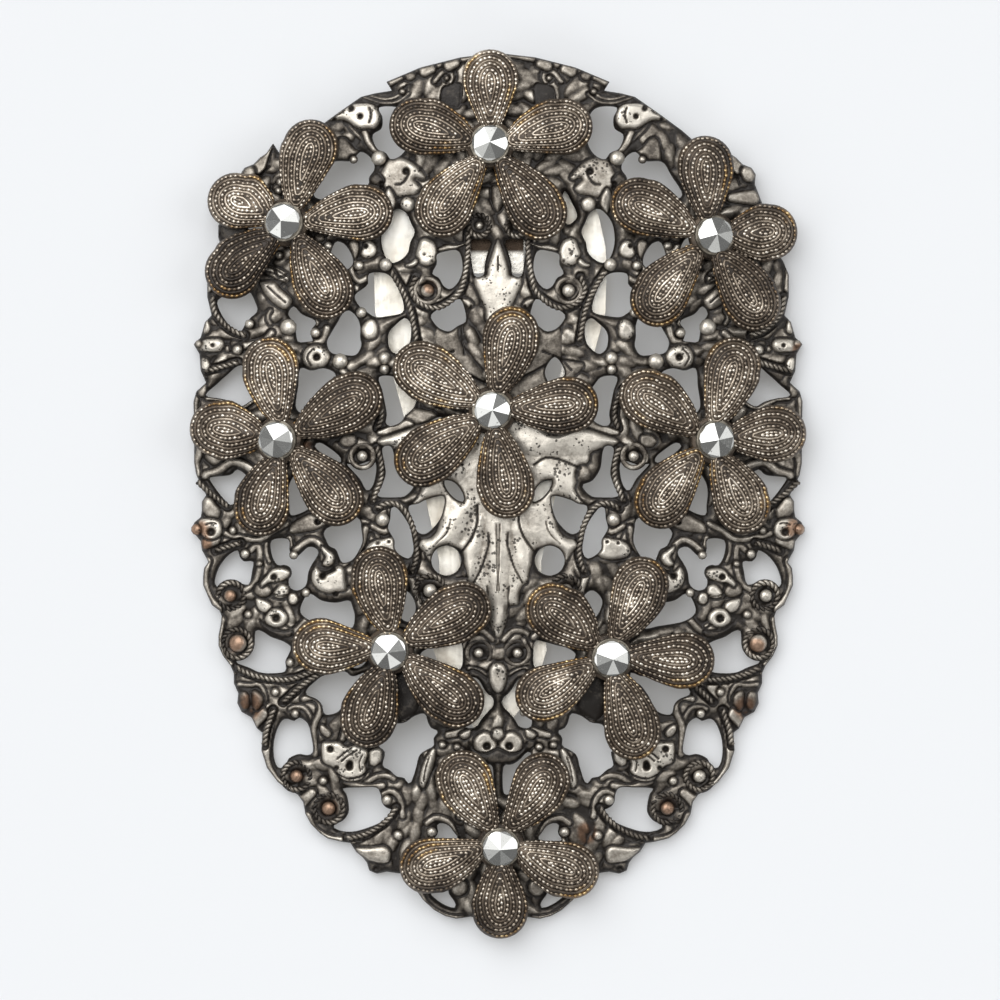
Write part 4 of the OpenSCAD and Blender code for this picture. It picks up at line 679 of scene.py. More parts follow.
def piece(name, part, finish, body, replaced=(), smooth=True):
    """Makes the finished piece, in metres."""
    mesh = bpy.data.meshes.new(name)
    mesh.vertices.add(len(part.points))
    mesh.vertices.foreach_set("co", (part.points * MM).ravel())
    mesh.loops.add(len(part.corners))
    mesh.loops.foreach_set("vertex_index", part.corners.astype(np.int32))
    mesh.polygons.add(len(part.sizes))
    starts = np.concatenate([[0], np.cumsum(part.sizes)[:-1]])
    mesh.polygons.foreach_set("loop_start", starts.astype(np.int32))
    mesh.polygons.foreach_set("loop_total", part.sizes.astype(np.int32))
    mesh.polygons.foreach_set("use_smooth", np.full(len(part.sizes), smooth))
    for mark, values in part.marks.items():
        layer = mesh.attributes.new(mark, "FLOAT", "POINT")
        layer.data.foreach_set("value", values.astype(np.float32))
    mesh.update(calc_edges=True)
    mesh.validate()
    mesh.materials.append(finish)
    made = bpy.data.objects.new(name, mesh)
    bpy.context.collection.objects.link(made)
    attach(made, body)
    if replaced:
        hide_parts(*replaced)


def curved(ends):
    """A smooth curve through all of the ends but the first and the last."""
    t = np.linspace(0, 1, 12, endpoint=False)[:, None]
    spans = []
    for a, b, c, d in zip(ends, ends[1:], ends[2:], ends[3:]):
        bend = 2 * a - 5 * b + 4 * c - d + t * (3 * (b - c) + d - a)
        spans.append(b + 0.5 * t * (c - a + t * bend))
    return np.vstack(spans)


def smooth_line(points, step):
    """Even steps along a smooth curve through the points."""
    p = np.array(points, float)
    ends = np.vstack([2 * p[0] - p[1], p, 2 * p[-1] - p[-2]])
    return even_steps(np.vstack([curved(ends), p[-1:]]), step)


def closed_line(points, step=0.3):
    """Even steps along a smooth closed curve through the points."""
    p = np.array(points, float)
    return even_steps(np.vstack([curved(np.vstack([p[-1:], p, p[:2]])), p[:1]]), step)[:-1]


def distances(line):
    """How far along a line each of its points lies in plan."""
    steps = np.linalg.norm(np.diff(line[:, :2], axis=0), axis=1)
    return np.concatenate([[0], np.cumsum(steps)])


def points_at(line, stops):
    """The points of a line at the distances in stops."""
    along = distances(line)
    return np.stack([np.interp(stops, along, column) for column in line.T], axis=1)


def even_steps(line, step):
    length = distances(line)[-1]
    return points_at(line, np.linspace(0, length, max(2, int(round(length / step)) + 1)))


def drawn_wires(lines, resolution, closed):
    """Round wires: each line is an array of x, y, z and radius."""
    curve = bpy.data.curves.new("wires", "CURVE")
    curve.dimensions = "3D"
    curve.bevel_depth = 1
    curve.bevel_resolution = resolution
    curve.use_fill_caps = not closed
    for line in lines:
        spline = curve.splines.new("POLY")
        spline.points.add(len(line) - 1)
        spline.points.foreach_set("co", np.column_stack([line[:, :3], np.ones(len(line))]).ravel())
        spline.points.foreach_set("radius", line[:, 3])
        spline.use_cyclic_u = closed
    return mesh_of(curve)


def mesh_of(curve):
    """The mesh of a curve, which is then removed."""
    drawn = bpy.data.objects.new("drawn", curve)
    bpy.context.collection.objects.link(drawn)
    graph = bpy.context.evaluated_depsgraph_get()
    mesh = bpy.data.meshes.new_from_object(drawn.evaluated_get(graph))
    bpy.data.objects.remove(drawn)
    return mesh


def rim_line():
    right = np.array(OUTLINE) * RIM_SCALE
    return np.vstack([right, right[-2:0:-1] * [-1, 1]])


def gap_lines():
    return [closed_line(points) * [side, 1] for points in GAPS for side in (1, -1)]


def underside():
    """The flat lower face of the pierced sheet, cut finely enough to follow the dome."""
    curve = bpy.data.curves.new("sheet", "CURVE")
    curve.dimensions = "2D"
    curve.fill_mode = "BOTH"
    for line in [rim_line()] + gap_lines():
        spline = curve.splines.new("POLY")
        spline.points.add(len(line) - 1)
        flat = np.column_stack([line, np.zeros(len(line)), np.ones(len(line))])
        spline.points.foreach_set("co", flat.ravel())
        spline.use_cyclic_u = True
    bm = bmesh.new()
    bm.from_mesh(mesh_of(curve))
    for normal, reach in zip((Vector((1, 0, 0)), Vector((0, 1, 0))), BACK_REACH):
        for place in range(-reach, reach + 1, BACK_STEP):
            every = bm.verts[:] + bm.edges[:] + bm.faces[:]
            bmesh.ops.bisect_plane(bm, geom=every, dist=1e-4, plane_co=normal * place, plane_no=normal)
    bmesh.ops.triangulate(bm, faces=bm.faces)
    bm.normal_update()
    bmesh.ops.reverse_faces(bm, faces=[face for face in bm.faces if face.normal.z > 0])
    bmesh.ops.translate(bm, vec=(0, 0, SHEET_LOW), verts=bm.verts)
    return part_from(bm)


def inside(plan, line):
    """Which places lie within a closed line."""
    found = np.zeros(len(plan), bool)
    for (x1, y1), (x2, y2) in zip(line, np.roll(line, -1, axis=0)):
        if y1 != y2:
            crosses = (plan[:, 1] < y1) != (plan[:, 1] < y2)
            found ^= crosses & (plan[:, 0] < x1 + (plan[:, 1] - y1) * (x2 - x1) / (y2 - y1))
    return found


def feet(plan, line):
    """The nearest points of a line, how far along each step they lie, and their distances."""
    for a, b in zip(line, line[1:]):
        d = b[:2] - a[:2]
        t = np.clip(((plan - a[:2]) @ d) / (d @ d), 0, 1)
        foot = a[:2] + t[:, None] * d
        yield foot, t, a, b, np.linalg.norm(plan - foot, axis=1)


def depth_in_outline(plan, line):
    """How deep each place lies within a closed line; negative outside."""
    away = np.full(len(plan), 9.0)
    for *_, distance in feet(plan, np.vstack([line, line[:1]])):
        away = np.minimum(away, distance)
    return np.where(inside(plan, line), away, -away)


def depth_in_strip(plan, line):
    """How deep each place lies within a strip along a line of x, y and half width."""
    depth = np.full(len(plan), -9.0)
    for _, t, a, b, distance in feet(plan, line):
        depth = np.maximum(depth, a[2] + t * (b[2] - a[2]) - distance)
    return depth


def spot(x, y, radius):
    """A round spot, as a very short strip."""
    return np.array([[x, y, radius], [x + 0.01, y, radius]])


def blurred(grid, cell, blur):
    """A grid smoothed over a distance."""
    waves = [np.fft.fftfreq(n, cell) for n in grid.shape]
    fade = np.exp(-2 * (math.pi * blur) ** 2 * (waves[0][:, None] ** 2 + waves[1][None] ** 2))
    return np.fft.ifft2(np.fft.fft2(grid) * fade).real


def read_grid(grid, u, v):
    """A grid's values at places between its points."""
    i, j = u.astype(int), v.astype(int)
    u, v = u - i, v - j
    near = grid[i, j] * (1 - u) + grid[i + 1, j] * u
    far = grid[i, j + 1] * (1 - u) + grid[i + 1, j + 1] * u
    return near * (1 - v) + far * v


class Relief:
    """The casting's heights over its plan, and how worn and how dark each place is: dark with oxide in
    grooves and pits, and with painted shade along edges.
    """

    cell = 0.1
    low = np.array([-28.6, -40.6])
    shape = (573, 813)

    def __init__(self):
        self.plan = np.stack(np.indices(self.shape), axis=-1) * self.cell + self.low
        flat = self.plan.reshape(-1, 2)
        self.room = depth_in_outline(flat, rim_line()).reshape(self.shape)
        for line in gap_lines():
            cells, depth = self.depths(line, SWELL_REACH, depth_in_outline)
            self.room[cells] = np.minimum(self.room[cells], -depth)
        share = np.clip(self.room / SWELL_REACH, 0, 1)
        chased = Chasing(CHASING_SEED).at(flat).reshape(self.shape) * share
        self.height = EDGE_Z + SWELL * np.sqrt(1 - (1 - share) ** 2) + CHASED * chased
        self.worn = 0.2 + 0.3 * chased
        self.polish = np.zeros(self.shape)
        # A dark band of painted shade along the sheet's edges, where they turn down
        self.dark = 1 - np.clip(self.room / DARK_EDGE, 0, 1)

    def depths(self, line, margin, measure):
        """The cells round a line, and how deep they lie in it."""
        start = np.maximum(((line.min(axis=0)[:2] - margin - self.low) / self.cell).astype(int), 0)
        stop = ((line.max(axis=0)[:2] + margin - self.low) / self.cell).astype(int) + 2
        cells = (slice(start[0], stop[0]), slice(start[1], stop[1]))
        plan = self.plan[cells]
        return cells, measure(plan.reshape(-1, 2), line).reshape(plan.shape[:2])

    def raised(self, line, top, worn, reach=0.45, foot=0.15, measure=depth_in_outline):
        """A rounded form over a closed line or a strip, with a dark line round it: painted shade along
        its edge, with oxide in the crevice at its foot.
        """
        cells, depth = self.depths(line, 1.0, measure)
        cover = np.clip(depth / self.cell + 0.5, 0, 1)
        share = np.clip(np.minimum(depth, self.room[cells] + 0.12) / reach, 0, 1)
        form = foot + (top - foot) * np.sqrt(1 - (1 - share) ** 2)
        self.height[cells] += cover * (form - self.height[cells])
        self.worn[cells] += cover * (worn - self.worn[cells])
        self.polish[cells] += cover * ((worn > 0.55) - self.polish[cells])
        # The dark line round the form and along the sheet's edges: painted shade, with oxide in the
        # crevice
        line_round = 1 - np.clip(np.abs(depth) / DARK_LINE, 0, 1)
        rim = 1 - np.clip(self.room[cells] / DARK_LINE, 0, 1)
        self.dark[cells] = np.maximum(self.dark[cells] * (1 - cover), np.maximum(line_round, rim))

    def sunk(self, line, fall, darkness=1.0):
        """A groove along a strip, or a pit."""
        cells, depth = self.depths(line, 1.5, depth_in_strip)
        share = np.clip(depth / line[:, 2].max() * 1.4, 0, 1)
        self.height[cells] -= fall * share * np.clip(self.room[cells] * 4, 0, 1)
        self.dark[cells] = np.maximum(self.dark[cells], darkness * share)

    def swollen(self, line, rise):
        """A soft swelling along a strip."""
        cells, depth = self.depths(line, 1.5, depth_in_strip)
        share = np.clip(depth / line[:, 2].max(), 0, 1)
        self.height[cells] += rise * share * (2 - share) * np.clip(self.room[cells] * 2, 0, 1)

    def mean_height(self, blur):
        """The mean height of the metal round each place."""
        metal = (self.room > 0).astype(float)
        cover = np.maximum(blurred(metal, self.cell, blur), 0.05)
        return blurred(self.height * metal, self.cell, blur) / cover

    def settle(self):
        self.broad_mean = self.mean_height(BROAD_REACH)
        self.close_mean = self.mean_height(CLOSE_REACH)

    def read(self, grid, plan):
        """The grid's values at places in plan."""
        return read_grid(grid, *((plan - self.low) / self.cell).T)


class Chasing:
    """Overlapping leaf-like strokes, as chased over the flat of the sheet."""

    low = np.array([-31, -43])
    pitch = 1.25
    count = (50, 70)
    half_long = 1.15
    half_short = 0.55

    def __init__(self, seed):
        random = np.random.default_rng(seed)
        grid = np.stack(np.indices(self.count), axis=-1)
        self.seats = (grid + random.uniform(-0.35, 0.35, grid.shape)) * self.pitch + self.low
        flow = Mottle(9, seed).at(self.seats.reshape(-1, 2)).reshape(self.count)
        self.turn = flow * math.pi + random.uniform(-0.3, 0.3, self.count)
        self.lift = random.uniform(0.55, 1.0, self.count)

    def at(self, points):
        cell = ((points[:, :2] - self.low) / self.pitch).round().astype(int)
        best = np.zeros(len(points))
        for i in (-1, 0, 1):
            for j in (-1, 0, 1):
                a = np.clip(cell[:, 0] + i, 0, self.count[0] - 1)
                b = np.clip(cell[:, 1] + j, 0, self.count[1] - 1)
                away = points[:, :2] - self.seats[a, b]
                c, s = np.cos(self.turn[a, b]), np.sin(self.turn[a, b])
                u = (away[:, 0] * c + away[:, 1] * s) / self.half_long
                v = (away[:, 1] * c - away[:, 0] * s) / self.half_short
                best = np.maximum(best, self.lift[a, b] * np.sqrt(np.clip(1 - u * u - v * v, 0, 1)))
        return best


class Mottle:
    """Smooth random unevenness over the plan, from about -1 to 1."""

    low = np.array([-31, -43])
    cell = 0.15
    shape = (420, 580)

    def __init__(self, size, seed):
        grid = blurred(np.random.default_rng(seed).standard_normal(self.shape), self.cell, size / 2)
        self.grid = grid / (2 * grid.std())

    def at(self, plan):
        return read_grid(self.grid, *np.moveaxis((plan - self.low) / self.cell, -1, 0))


def mirrored(line):
    return [line, line * ([-1] + [1] * (line.shape[1] - 1))]


def strip(points, half_w=None):
    """A smooth strip through points x, y, half width."""
    points = np.array(points, float)
    if half_w is not None:
        points = np.column_stack([points, np.full(len(points), half_w)])
    return smooth_line(points, 0.4) if len(points) > 2 else points


def carved():
    """The relief with every raised form, groove and pit."""
    relief = Relief()
    for radius, points in WIRES:
        for line in mirrored(strip(points, radius + 0.05)):
            relief.raised(line, 0.35 + radius, worn=0.42, reach=radius, foot=0.1,
                          measure=depth_in_strip)
    for points in ROPES:
        for line in mirrored(strip(points, ROPE_BAND)):
            relief.raised(line, 0.3, worn=0.2, reach=0.3, foot=0.1, measure=depth_in_strip)
    for x1, y1, r1, x2, y2, r2, top in LOBES:
        for line in mirrored(np.array([[x1, y1, r1], [x2, y2, r2]])):
            relief.raised(line, top, worn=0.42, reach=min(r1, r2) * 0.8, measure=depth_in_strip)
    for line, middle, worn in BLADES:
        for half in mirrored(strip(line)):
            relief.raised(half, middle, worn, reach=0.9, foot=0.25, measure=depth_in_strip)
    for top, reach, worn, points in FORMS:
        for line in mirrored(closed_line(points, 0.2)):
            relief.raised(line, top, worn, reach)
    for top, reach, worn, points in MIDDLE_FORMS:
        half = np.array(points)
        relief.raised(closed_line(np.vstack([half, half[-2:0:-1] * [-1, 1]]), 0.2), top, worn, reach)
    for rise, points in CROWNS:
        for line in mirrored(strip(points)):
            relief.swollen(line, rise)
    for x, y, radius, _ in RINGS:
        for line in mirrored(spot(x, y, radius + 0.2)):
            relief.sunk(line, 0.25, darkness=0.8)
    for x, y, radius in BALLS:
        for line in mirrored(spot(x, y, radius + 0.2)):
            relief.sunk(line, 0.2, darkness=0.9)
    for half_w, fall, points in GROOVES:
        for line in mirrored(strip(points, half_w)):
            relief.sunk(line, fall)
    for x, y, radius, fall in PITS:
        for line in mirrored(spot(x, y, radius)):
            relief.sunk(line, fall)
    for size, height, seed in MOTTLES:
        relief.height += height * Mottle(size, seed).at(relief.plan) * np.clip(relief.room * 3, 0, 1)
    relief.settle()
    return relief


def pulled_to_edges(plan):
    """Places on the edge of the grid, moved onto the true edges of the sheet."""
    best = np.full(len(plan), 9.0)
    moved = plan.copy()
    for line in [rim_line()] + gap_lines():
        near_line = ((plan > line.min(axis=0) - 0.3) & (plan < line.max(axis=0) + 0.3)).all(axis=1)
        found = np.flatnonzero(near_line)
        for foot, *_, distance in feet(plan[found], np.vstack([line, line[:1]])):
            nearer = distance < best[found]
            best[found[nearer]] = distance[nearer]
            moved[found[nearer]] = foot[nearer]
    return moved


def skin(relief):
    """The top face of the casting over the relief, with its side walls."""
    wide, tall = relief.shape
    bm = bmesh.new()
    bmesh.ops.create_grid(bm, x_segments=wide - 1, y_segments=tall - 1, size=0.5)
    grid = part_from(bm)
    i = np.rint((grid.points[:, 0] + 0.5) * (wide - 1)).astype(int)
    j = np.rint((grid.points[:, 1] + 0.5) * (tall - 1)).astype(int)
    quads = grid.corners.reshape(-1, 4)
    quads = quads[(relief.room[i[quads], j[quads]] > -0.3 * relief.cell).all(axis=1)]
    used, quads = np.unique(quads, return_inverse=True)
    quads = quads.reshape(-1, 4)
    plan = relief.plan[i[used], j[used]]
    edges = np.stack([quads, np.roll(quads, -1, axis=1)], axis=-1).reshape(-1, 2)
    keys = edges.min(axis=1) * len(used) + edges.max(axis=1)
    _, first, count = np.unique(keys, return_index=True, return_counts=True)
    rim = edges[first[count == 1]]
    on_rim = np.unique(rim)
    plan[on_rim] = pulled_to_edges(plan[on_rim])
    z = relief.height[i[used], j[used]]
    z[on_rim] = EDGE_Z
    below = np.zeros(len(used), int)
    below[on_rim] = np.arange(len(on_rim)) + len(used)
    walls = np.column_stack([rim[:, 1], rim[:, 0], below[rim[:, 0]], below[rim[:, 1]]])
    wall_foot = np.column_stack([plan[on_rim], np.full(len(on_rim), SHEET_LOW)])
    points = np.vstack([np.column_stack([plan, z]), wall_foot])
    corners = np.concatenate([quads.ravel(), walls.ravel()])
    return Part(points, corners, np.full(len(quads) + len(walls), 4))


def ring_line(x, y, radius, count):
    a = np.arange(count) / count * TAU
    return np.column_stack([x + radius * np.cos(a), y + radius * np.sin(a)])


def eye_rings():
    """The plain rings round the eyes, and the bands under the roped ones."""
    lines = []
    for x, y, radius, roped in RINGS:
        line = ring_line(x, y, radius, 28)
        section = np.tile(ROPED_RING if roped else PLAIN_RING, (len(line), 1))
        lines += mirrored(np.column_stack([line, section]))
    return part_of(drawn_wires(lines, 1, closed=True))


def balls_and_bosses():
    """The balls of both halves, and the bosses that the flowers sit on."""
    bm = bmesh.new()
    for side in (1, -1):
        for x, y, r in BALLS:
            top = min(BALL_TOP, BALL_SEAT + r)
            half = (top - ROOT_Z) / 2
            place = Matrix.Translation((side * x, y, ROOT_Z + half)) @ Matrix.Diagonal((r, r, half, 1))
            bmesh.ops.create_icosphere(bm, subdivisions=2, radius=1, matrix=place)
    top = FLOWER_LIFT - GAP
    for x, y, *_ in FLOWERS:
        place = Matrix.Translation((x, y, (top + ROOT_Z) / 2))
        bmesh.ops.create_cone(bm, cap_ends=True, segments=32, radius1=BOSS_R, radius2=BOSS_R,
                              depth=top - ROOT_Z, matrix=place)
    return part_from(bm)


def rope_part(lines, closed):
    """Two strands twisted along each line, as one part."""
    strands = []
    for line in lines:
        heading = np.gradient(line, axis=0)
        if closed:
            heading = np.roll(line, -1, axis=0) - np.roll(line, 1, axis=0)
        heading /= np.linalg.norm(heading, axis=1)[:, None]
        step = np.linalg.norm(line[1] - line[0])
        turns = len(line) * step / ROPE_TURN
        if closed:
            turns = round(turns)
        phase = np.arange(len(line)) / len(line) * turns * TAU
        for start in (0, math.pi):
            out = ROPE_R * np.cos(phase + start)
            strands.append(np.column_stack([
                line[:, 0] - heading[:, 1] * out,
                line[:, 1] + heading[:, 0] * out,
                ROPE_Z + ROPE_R * np.sin(phase + start),
                np.full(len(line), ROPE_R),
            ]))
    return part_of(drawn_wires(strands, 1, closed))


def rope_wires():
    """The roped wires and the roped rings round the eyes."""
    open_lines = [line for points in ROPES for line in mirrored(smooth_line(points, 0.14))]
    rings = []
    for x, y, radius, roped in RINGS:
        if roped:
            rings += mirrored(ring_line(x, y, radius, 56))
    return joined([rope_part(open_lines, False), rope_part(rings, True)])


def spots(points, table):
    """How far each point lies inside the nearest of the round spots, from 0 to 1."""
    found = np.zeros(len(points))
    for x, y, r in table:
        away = np.hypot(points[:, 0] - x, points[:, 1] - y) / r
        found = np.maximum(found, np.clip(1.25 - away, 0, 1))
    return found


def mark_wear_and_painted_light(part, relief, worn=None):
    """Marks the copper, the polish, and how worn each point is by its height over the metal
    round it. Without a value for worn, the relief's own worn values and dark lines count; the dark
    lines and the dark side walls are painted shade, with oxide in grooves and pits."""
    plan, z = part.points[:, :2], part.points[:, 2]
    wear = (z - relief.read(relief.broad_mean, plan)) * BROAD_WEAR
    wear += (z - relief.read(relief.close_mean, plan)) * CLOSE_WEAR
    if worn is None:
        # Dark lines darken the point: painted shade along edges, and oxide in grooves and pits
        wear += relief.read(relief.worn, plan) + relief.read(relief.dark, plan) * LINE_SHADE_AND_OXIDE
        # Side walls are dark: painted shade, with oxide
        wear[z < WALL_Z] = WALL_SHADE_AND_OXIDE
    else:
        wear += worn
    part.marks["wear"] = np.clip(wear, 0, 1)
    part.marks["copper"] = spots(part.points, COPPER)
    part.marks["polish"] = relief.read(relief.polish, plan) * (z > WALL_Z)


def raise_to_dome(points):
    points[:, 2] += dome_z(points[:, 0], points[:, 1])


def quarter_of(part, side, end):
    """The faces of a part whose middle lies in one quarter of the plan."""
    owner = np.repeat(np.arange(len(part.sizes)), part.sizes)
    middle = [np.bincount(owner, part.points[part.corners, axis]) / part.sizes for axis in (0, 1)]
    keep = ((middle[0] >= 0) == (side > 0)) & ((middle[1] >= QUARTER_Y) == (end > 0))
    corners = part.corners[keep[owner]]
    used = np.unique(corners)
    return Part(
        part.points[used],
        np.searchsorted(used, corners),
        part.sizes[keep],
        **{name: mark[used] for name, mark in part.marks.items()},
    )


class Reading:
    """A number that varies over a surface. Arithmetic on it adds Math nodes."""

    def __init__(self, nodes, socket):
        self.nodes = nodes
        self.socket = socket

    def math(self, operation, first, second):
        return self.nodes.node("ShaderNodeMath", {"operation": operation}, {0: first, 1: second})

    def __add__(self, other):
        return self.math("ADD", self, other)

    __radd__ = __add__

    def __sub__(self, other):
        return self.math("SUBTRACT", self, other)

    def __rsub__(self, other):
        return self.math("SUBTRACT", other, self)

    def __mul__(self, other):
        return self.math("MULTIPLY", self, other)

    __rmul__ = __mul__


class Nodes:
    """A node tree under construction."""

    def __init__(self, tree):
        self.tree = tree

    def node(self, kind, settings=None, inputs=None, output=0):
        made = self.tree.nodes.new(kind)
        for key, value in (settings or {}).items():
            if key == "stops":
                self.set_stops(made.color_ramp, value)
            else:
                setattr(made, key, value)
        for key, value in (inputs or {}).items():
            self.feed(made.inputs[key], value)
        return Reading(self, made.outputs[output])

    def set_stops(self, ramp, stops):
        while len(ramp.elements) < len(stops):
            ramp.elements.new(1)
        for element, (place, shade) in zip(ramp.elements, stops):
            element.position = place
            element.color = (*shade, 1)

    def feed(self, socket, value):
        if isinstance(value, Reading):
            self.tree.links.new(value.socket, socket)
        elif isinstance(value, tuple) and socket.type == "RGBA":
            socket.default_value = (*value, 1)
        else:
            socket.default_value = value

    def ramp(self, value, stops):
        return self.node("ShaderNodeValToRGB", {"stops": stops}, {"Fac": value})

    def between(self, value, low, high):
        """0 below low, 1 above high, and smooth between."""
        return self.node("ShaderNodeMapRange", {"interpolation_type": "SMOOTHSTEP"}, {
            "Value": value, "From Min": low, "From Max": high})


class Finish(Nodes):
    """A metal finish."""

    def __init__(self, name):
        self.material = bpy.data.materials.new(name)
        self.material.use_nodes = True
        super().__init__(self.material.node_tree)
        self.shader = self.tree.nodes["Principled BSDF"]

    def surface(self, **inputs):
        for name, value in inputs.items():
            self.feed(self.shader.inputs[name.replace("_", " ")], value)
        return self.material

    def place(self):
        return self.node("ShaderNodeTexCoord", output="Object")

    def noise(self, size, detail=3, roughness=0.55, squeeze=None):
        """Noise whose patches are about size mm across."""
        vector = self.place()
        if squeeze:
            vector = self.node("ShaderNodeMapping", None, {"Vector": vector, "Scale": squeeze})
        return self.node("ShaderNodeTexNoise", None, {
            "Vector": vector, "Scale": 1 / (size * MM), "Detail": detail, "Roughness": roughness})

    def dots(self, size):
        """Distance from scattered points about size mm apart, in shares of that size."""
        return self.node("ShaderNodeTexVoronoi", None, {
            "Vector": self.place(), "Scale": 1 / (size * MM)}, "Distance")

    def mixed(self, share, first, second):
        return self.node("ShaderNodeMix", {"data_type": "RGBA"}, {
            "Factor": share, "A": first, "B": second}, "Result")

    def mark(self, name):
        return self.node("ShaderNodeAttribute", {"attribute_name": name}, output="Fac")

    def bump(self, height, distance):
        return self.node("ShaderNodeBump", None, {"Height": height, "Distance": distance * MM})


def oxidised_plate():
    """Silver plate: black in the hollows, dark with painted shade along edges, worn satin on the high
    points, some copper.
    """
    f = Finish("oxidised_plate")
    cloud = f.noise(2.2, 4)
    grain = f.noise(0.25, 3, 0.65)
    polish = f.mark("polish")
    blotch = f.noise(0.7, 4, 0.7)
    worn = f.mark("wear") + (cloud - 0.5) * 0.4 + (grain - 0.5) * 0.45 + (blotch - 0.5) * 0.75
    silver = f.ramp(worn, [
        (0.1, (0.016, 0.012, 0.009)), (0.36, (0.1, 0.084, 0.067)),
        (0.62, (0.32, 0.285, 0.24)), (0.95, (0.68, 0.63, 0.55))])
    brown = f.ramp(worn, [
        (0.1, (0.02, 0.012, 0.008)), (0.5, (0.13, 0.062, 0.03)), (0.85, (0.3, 0.15, 0.075))])
    coppery = f.between(f.mark("copper") + (cloud - 0.5) * 0.7, 0.3, 0.75)
    tone = f.mixed(coppery * 0.8, silver, brown)
    crowded = f.between(f.noise(1.6, 2), 0.42, 0.66)
    ragged = (f.noise(0.12, 2) - 0.5) * 0.5
    pits = f.between(crowded * 0.42 + ragged - f.dots(0.34), -0.05, 0.05)
    pitted = pits * f.between(polish, 0.15, 0.5)
    tone = f.mixed(pitted * 0.85, tone, (0.03, 0.026, 0.022))
    rough = 0.5 + polish * 0.04 - f.between(worn, 0.3, 0.9) * 0.1 + (grain - 0.5) * 0.2
    relief = grain * 0.5 + f.noise(0.6, 3) * 0.8 - pitted * 1.0
    return f.surface(Base_Color=tone, Metallic=0.3 + f.between(worn, 0.2, 0.55) * 0.45, Roughness=rough,
                     Normal=f.bump(relief, 0.04))


def oxidised_petals():
    """The flowers: brown-black, with bright bead tops (worn, and a painted highlight), gilt at some
    edges, and broad patches of painted sheen and shade.
    """
    f = Finish("oxidised_petals")
    cloud = f.noise(3.5, 3)
    grain = f.noise(0.2, 3, 0.65)
    painted_sheen = f.noise(1.1, 3)
    # The two broad noises paint patches of sheen and shade over the petals; the grain is the metal's
    # own unevenness
    worn = f.mark("wear") + (cloud - 0.5) * 0.9 + (painted_sheen - 0.5) * 0.75 + (grain - 0.5) * 0.4
    silver = f.ramp(worn, [
        (0.1, (0.024, 0.016, 0.01)), (0.4, (0.122, 0.092, 0.066)),
        (0.69, (0.47, 0.4, 0.32)), (0.93, (0.97, 0.9, 0.79))])
    gilt = f.ramp(worn, [
        (0.1, (0.03, 0.015, 0.006)), (0.55, (0.3, 0.17, 0.06)), (0.9, (0.85, 0.62, 0.28))])
    gilded = f.between(f.mark("gilt") + (f.noise(3.8, 2) - 0.5) * 2.6, 0.75, 1.15)
    tone = f.mixed(gilded * 0.9, silver, gilt)
    rough = 0.42 - f.between(worn, 0.4, 0.9) * 0.1 + (grain - 0.5) * 0.2
    return f.surface(Base_Color=tone, Metallic=0.35 + f.between(worn, 0.2, 0.6) * 0.55, Roughness=rough,
                     Normal=f.bump(grain, 0.03))


def cut_steel():
    """Faceted heads: pale steel with a few dark specks."""
    f = Finish("cut_steel")
    speck = f.between(f.noise(0.35, 3, 0.7), 0.62, 0.72)
    tone = f.mixed(speck * 0.5, (0.6, 0.6, 0.575), (0.2, 0.19, 0.17))
    return f.surface(Base_Color=tone, Metallic=0.9, Roughness=0.16 + speck * 0.3)


def collar_metal():
    """The rivets and their collars: dull brass, dark in places."""
    f = Finish("collar_metal")
    cloud = f.noise(0.8, 3)
    tone = f.ramp(cloud, [(0.3, (0.05, 0.042, 0.033)), (0.7, (0.28, 0.25, 0.2))])
    return f.surface(Base_Color=tone, Metallic=0.7, Roughness=0.42)


def nickel():
    """The flap: warm nickel plate, brushed along its length, with bright and dark patches of painted
    reflection and brown patches of painted shadow.
    """
    f = Finish("nickel")
    brush = f.noise(0.35, 3, 0.6, (1.0, 0.12, 1.0))
    cloud = f.noise(4.0, 3)
    shadow_patches = f.between(f.noise(2.2, 4, 0.6), 0.5, 0.68)
    # Painted light and shade: the cloud makes bright and dark patches of reflection
    tone = f.ramp(cloud, [
        (0.28, (0.5, 0.43, 0.34)), (0.46, (0.82, 0.77, 0.67)), (0.66, (0.97, 0.94, 0.87))])
    # Painted shadow: brown patches
    tone = f.mixed(shadow_patches * 0.25, tone, (0.2, 0.16, 0.11))
    return f.surface(Base_Color=tone, Metallic=0.9, Roughness=0.24 + brush * 0.2,
                     Normal=f.bump(brush * 0.1 + cloud, 0.08))


def steel(name, shade, rough, shadow_from_y=None):
    """Plain steel of the hidden pieces, dulled in patches, and painted in dark brown shadow beyond
    shadow_from_y.
    """
    f = Finish(name)
    cloud = f.noise(2.5, 4)
    low = tuple(c * 0.45 for c in shade)
    tone = f.ramp(cloud, [(0.32, low), (0.62, shade)])
    if shadow_from_y is not None:
        along = f.node("ShaderNodeSeparateXYZ", None, {0: f.place()}, "Y")
        # Painted shadow: dark brown beyond this y
        in_shadow = f.between(along * (1 / MM), shadow_from_y - 0.25, shadow_from_y + 0.25)
        tone = f.mixed(in_shadow, tone, (0.05, 0.036, 0.026))
    return f.surface(Base_Color=tone, Metallic=1.0, Roughness=rough + (f.noise(0.4) - 0.5) * 0.2,
                     Normal=f.bump(f.noise(0.3), 0.015))


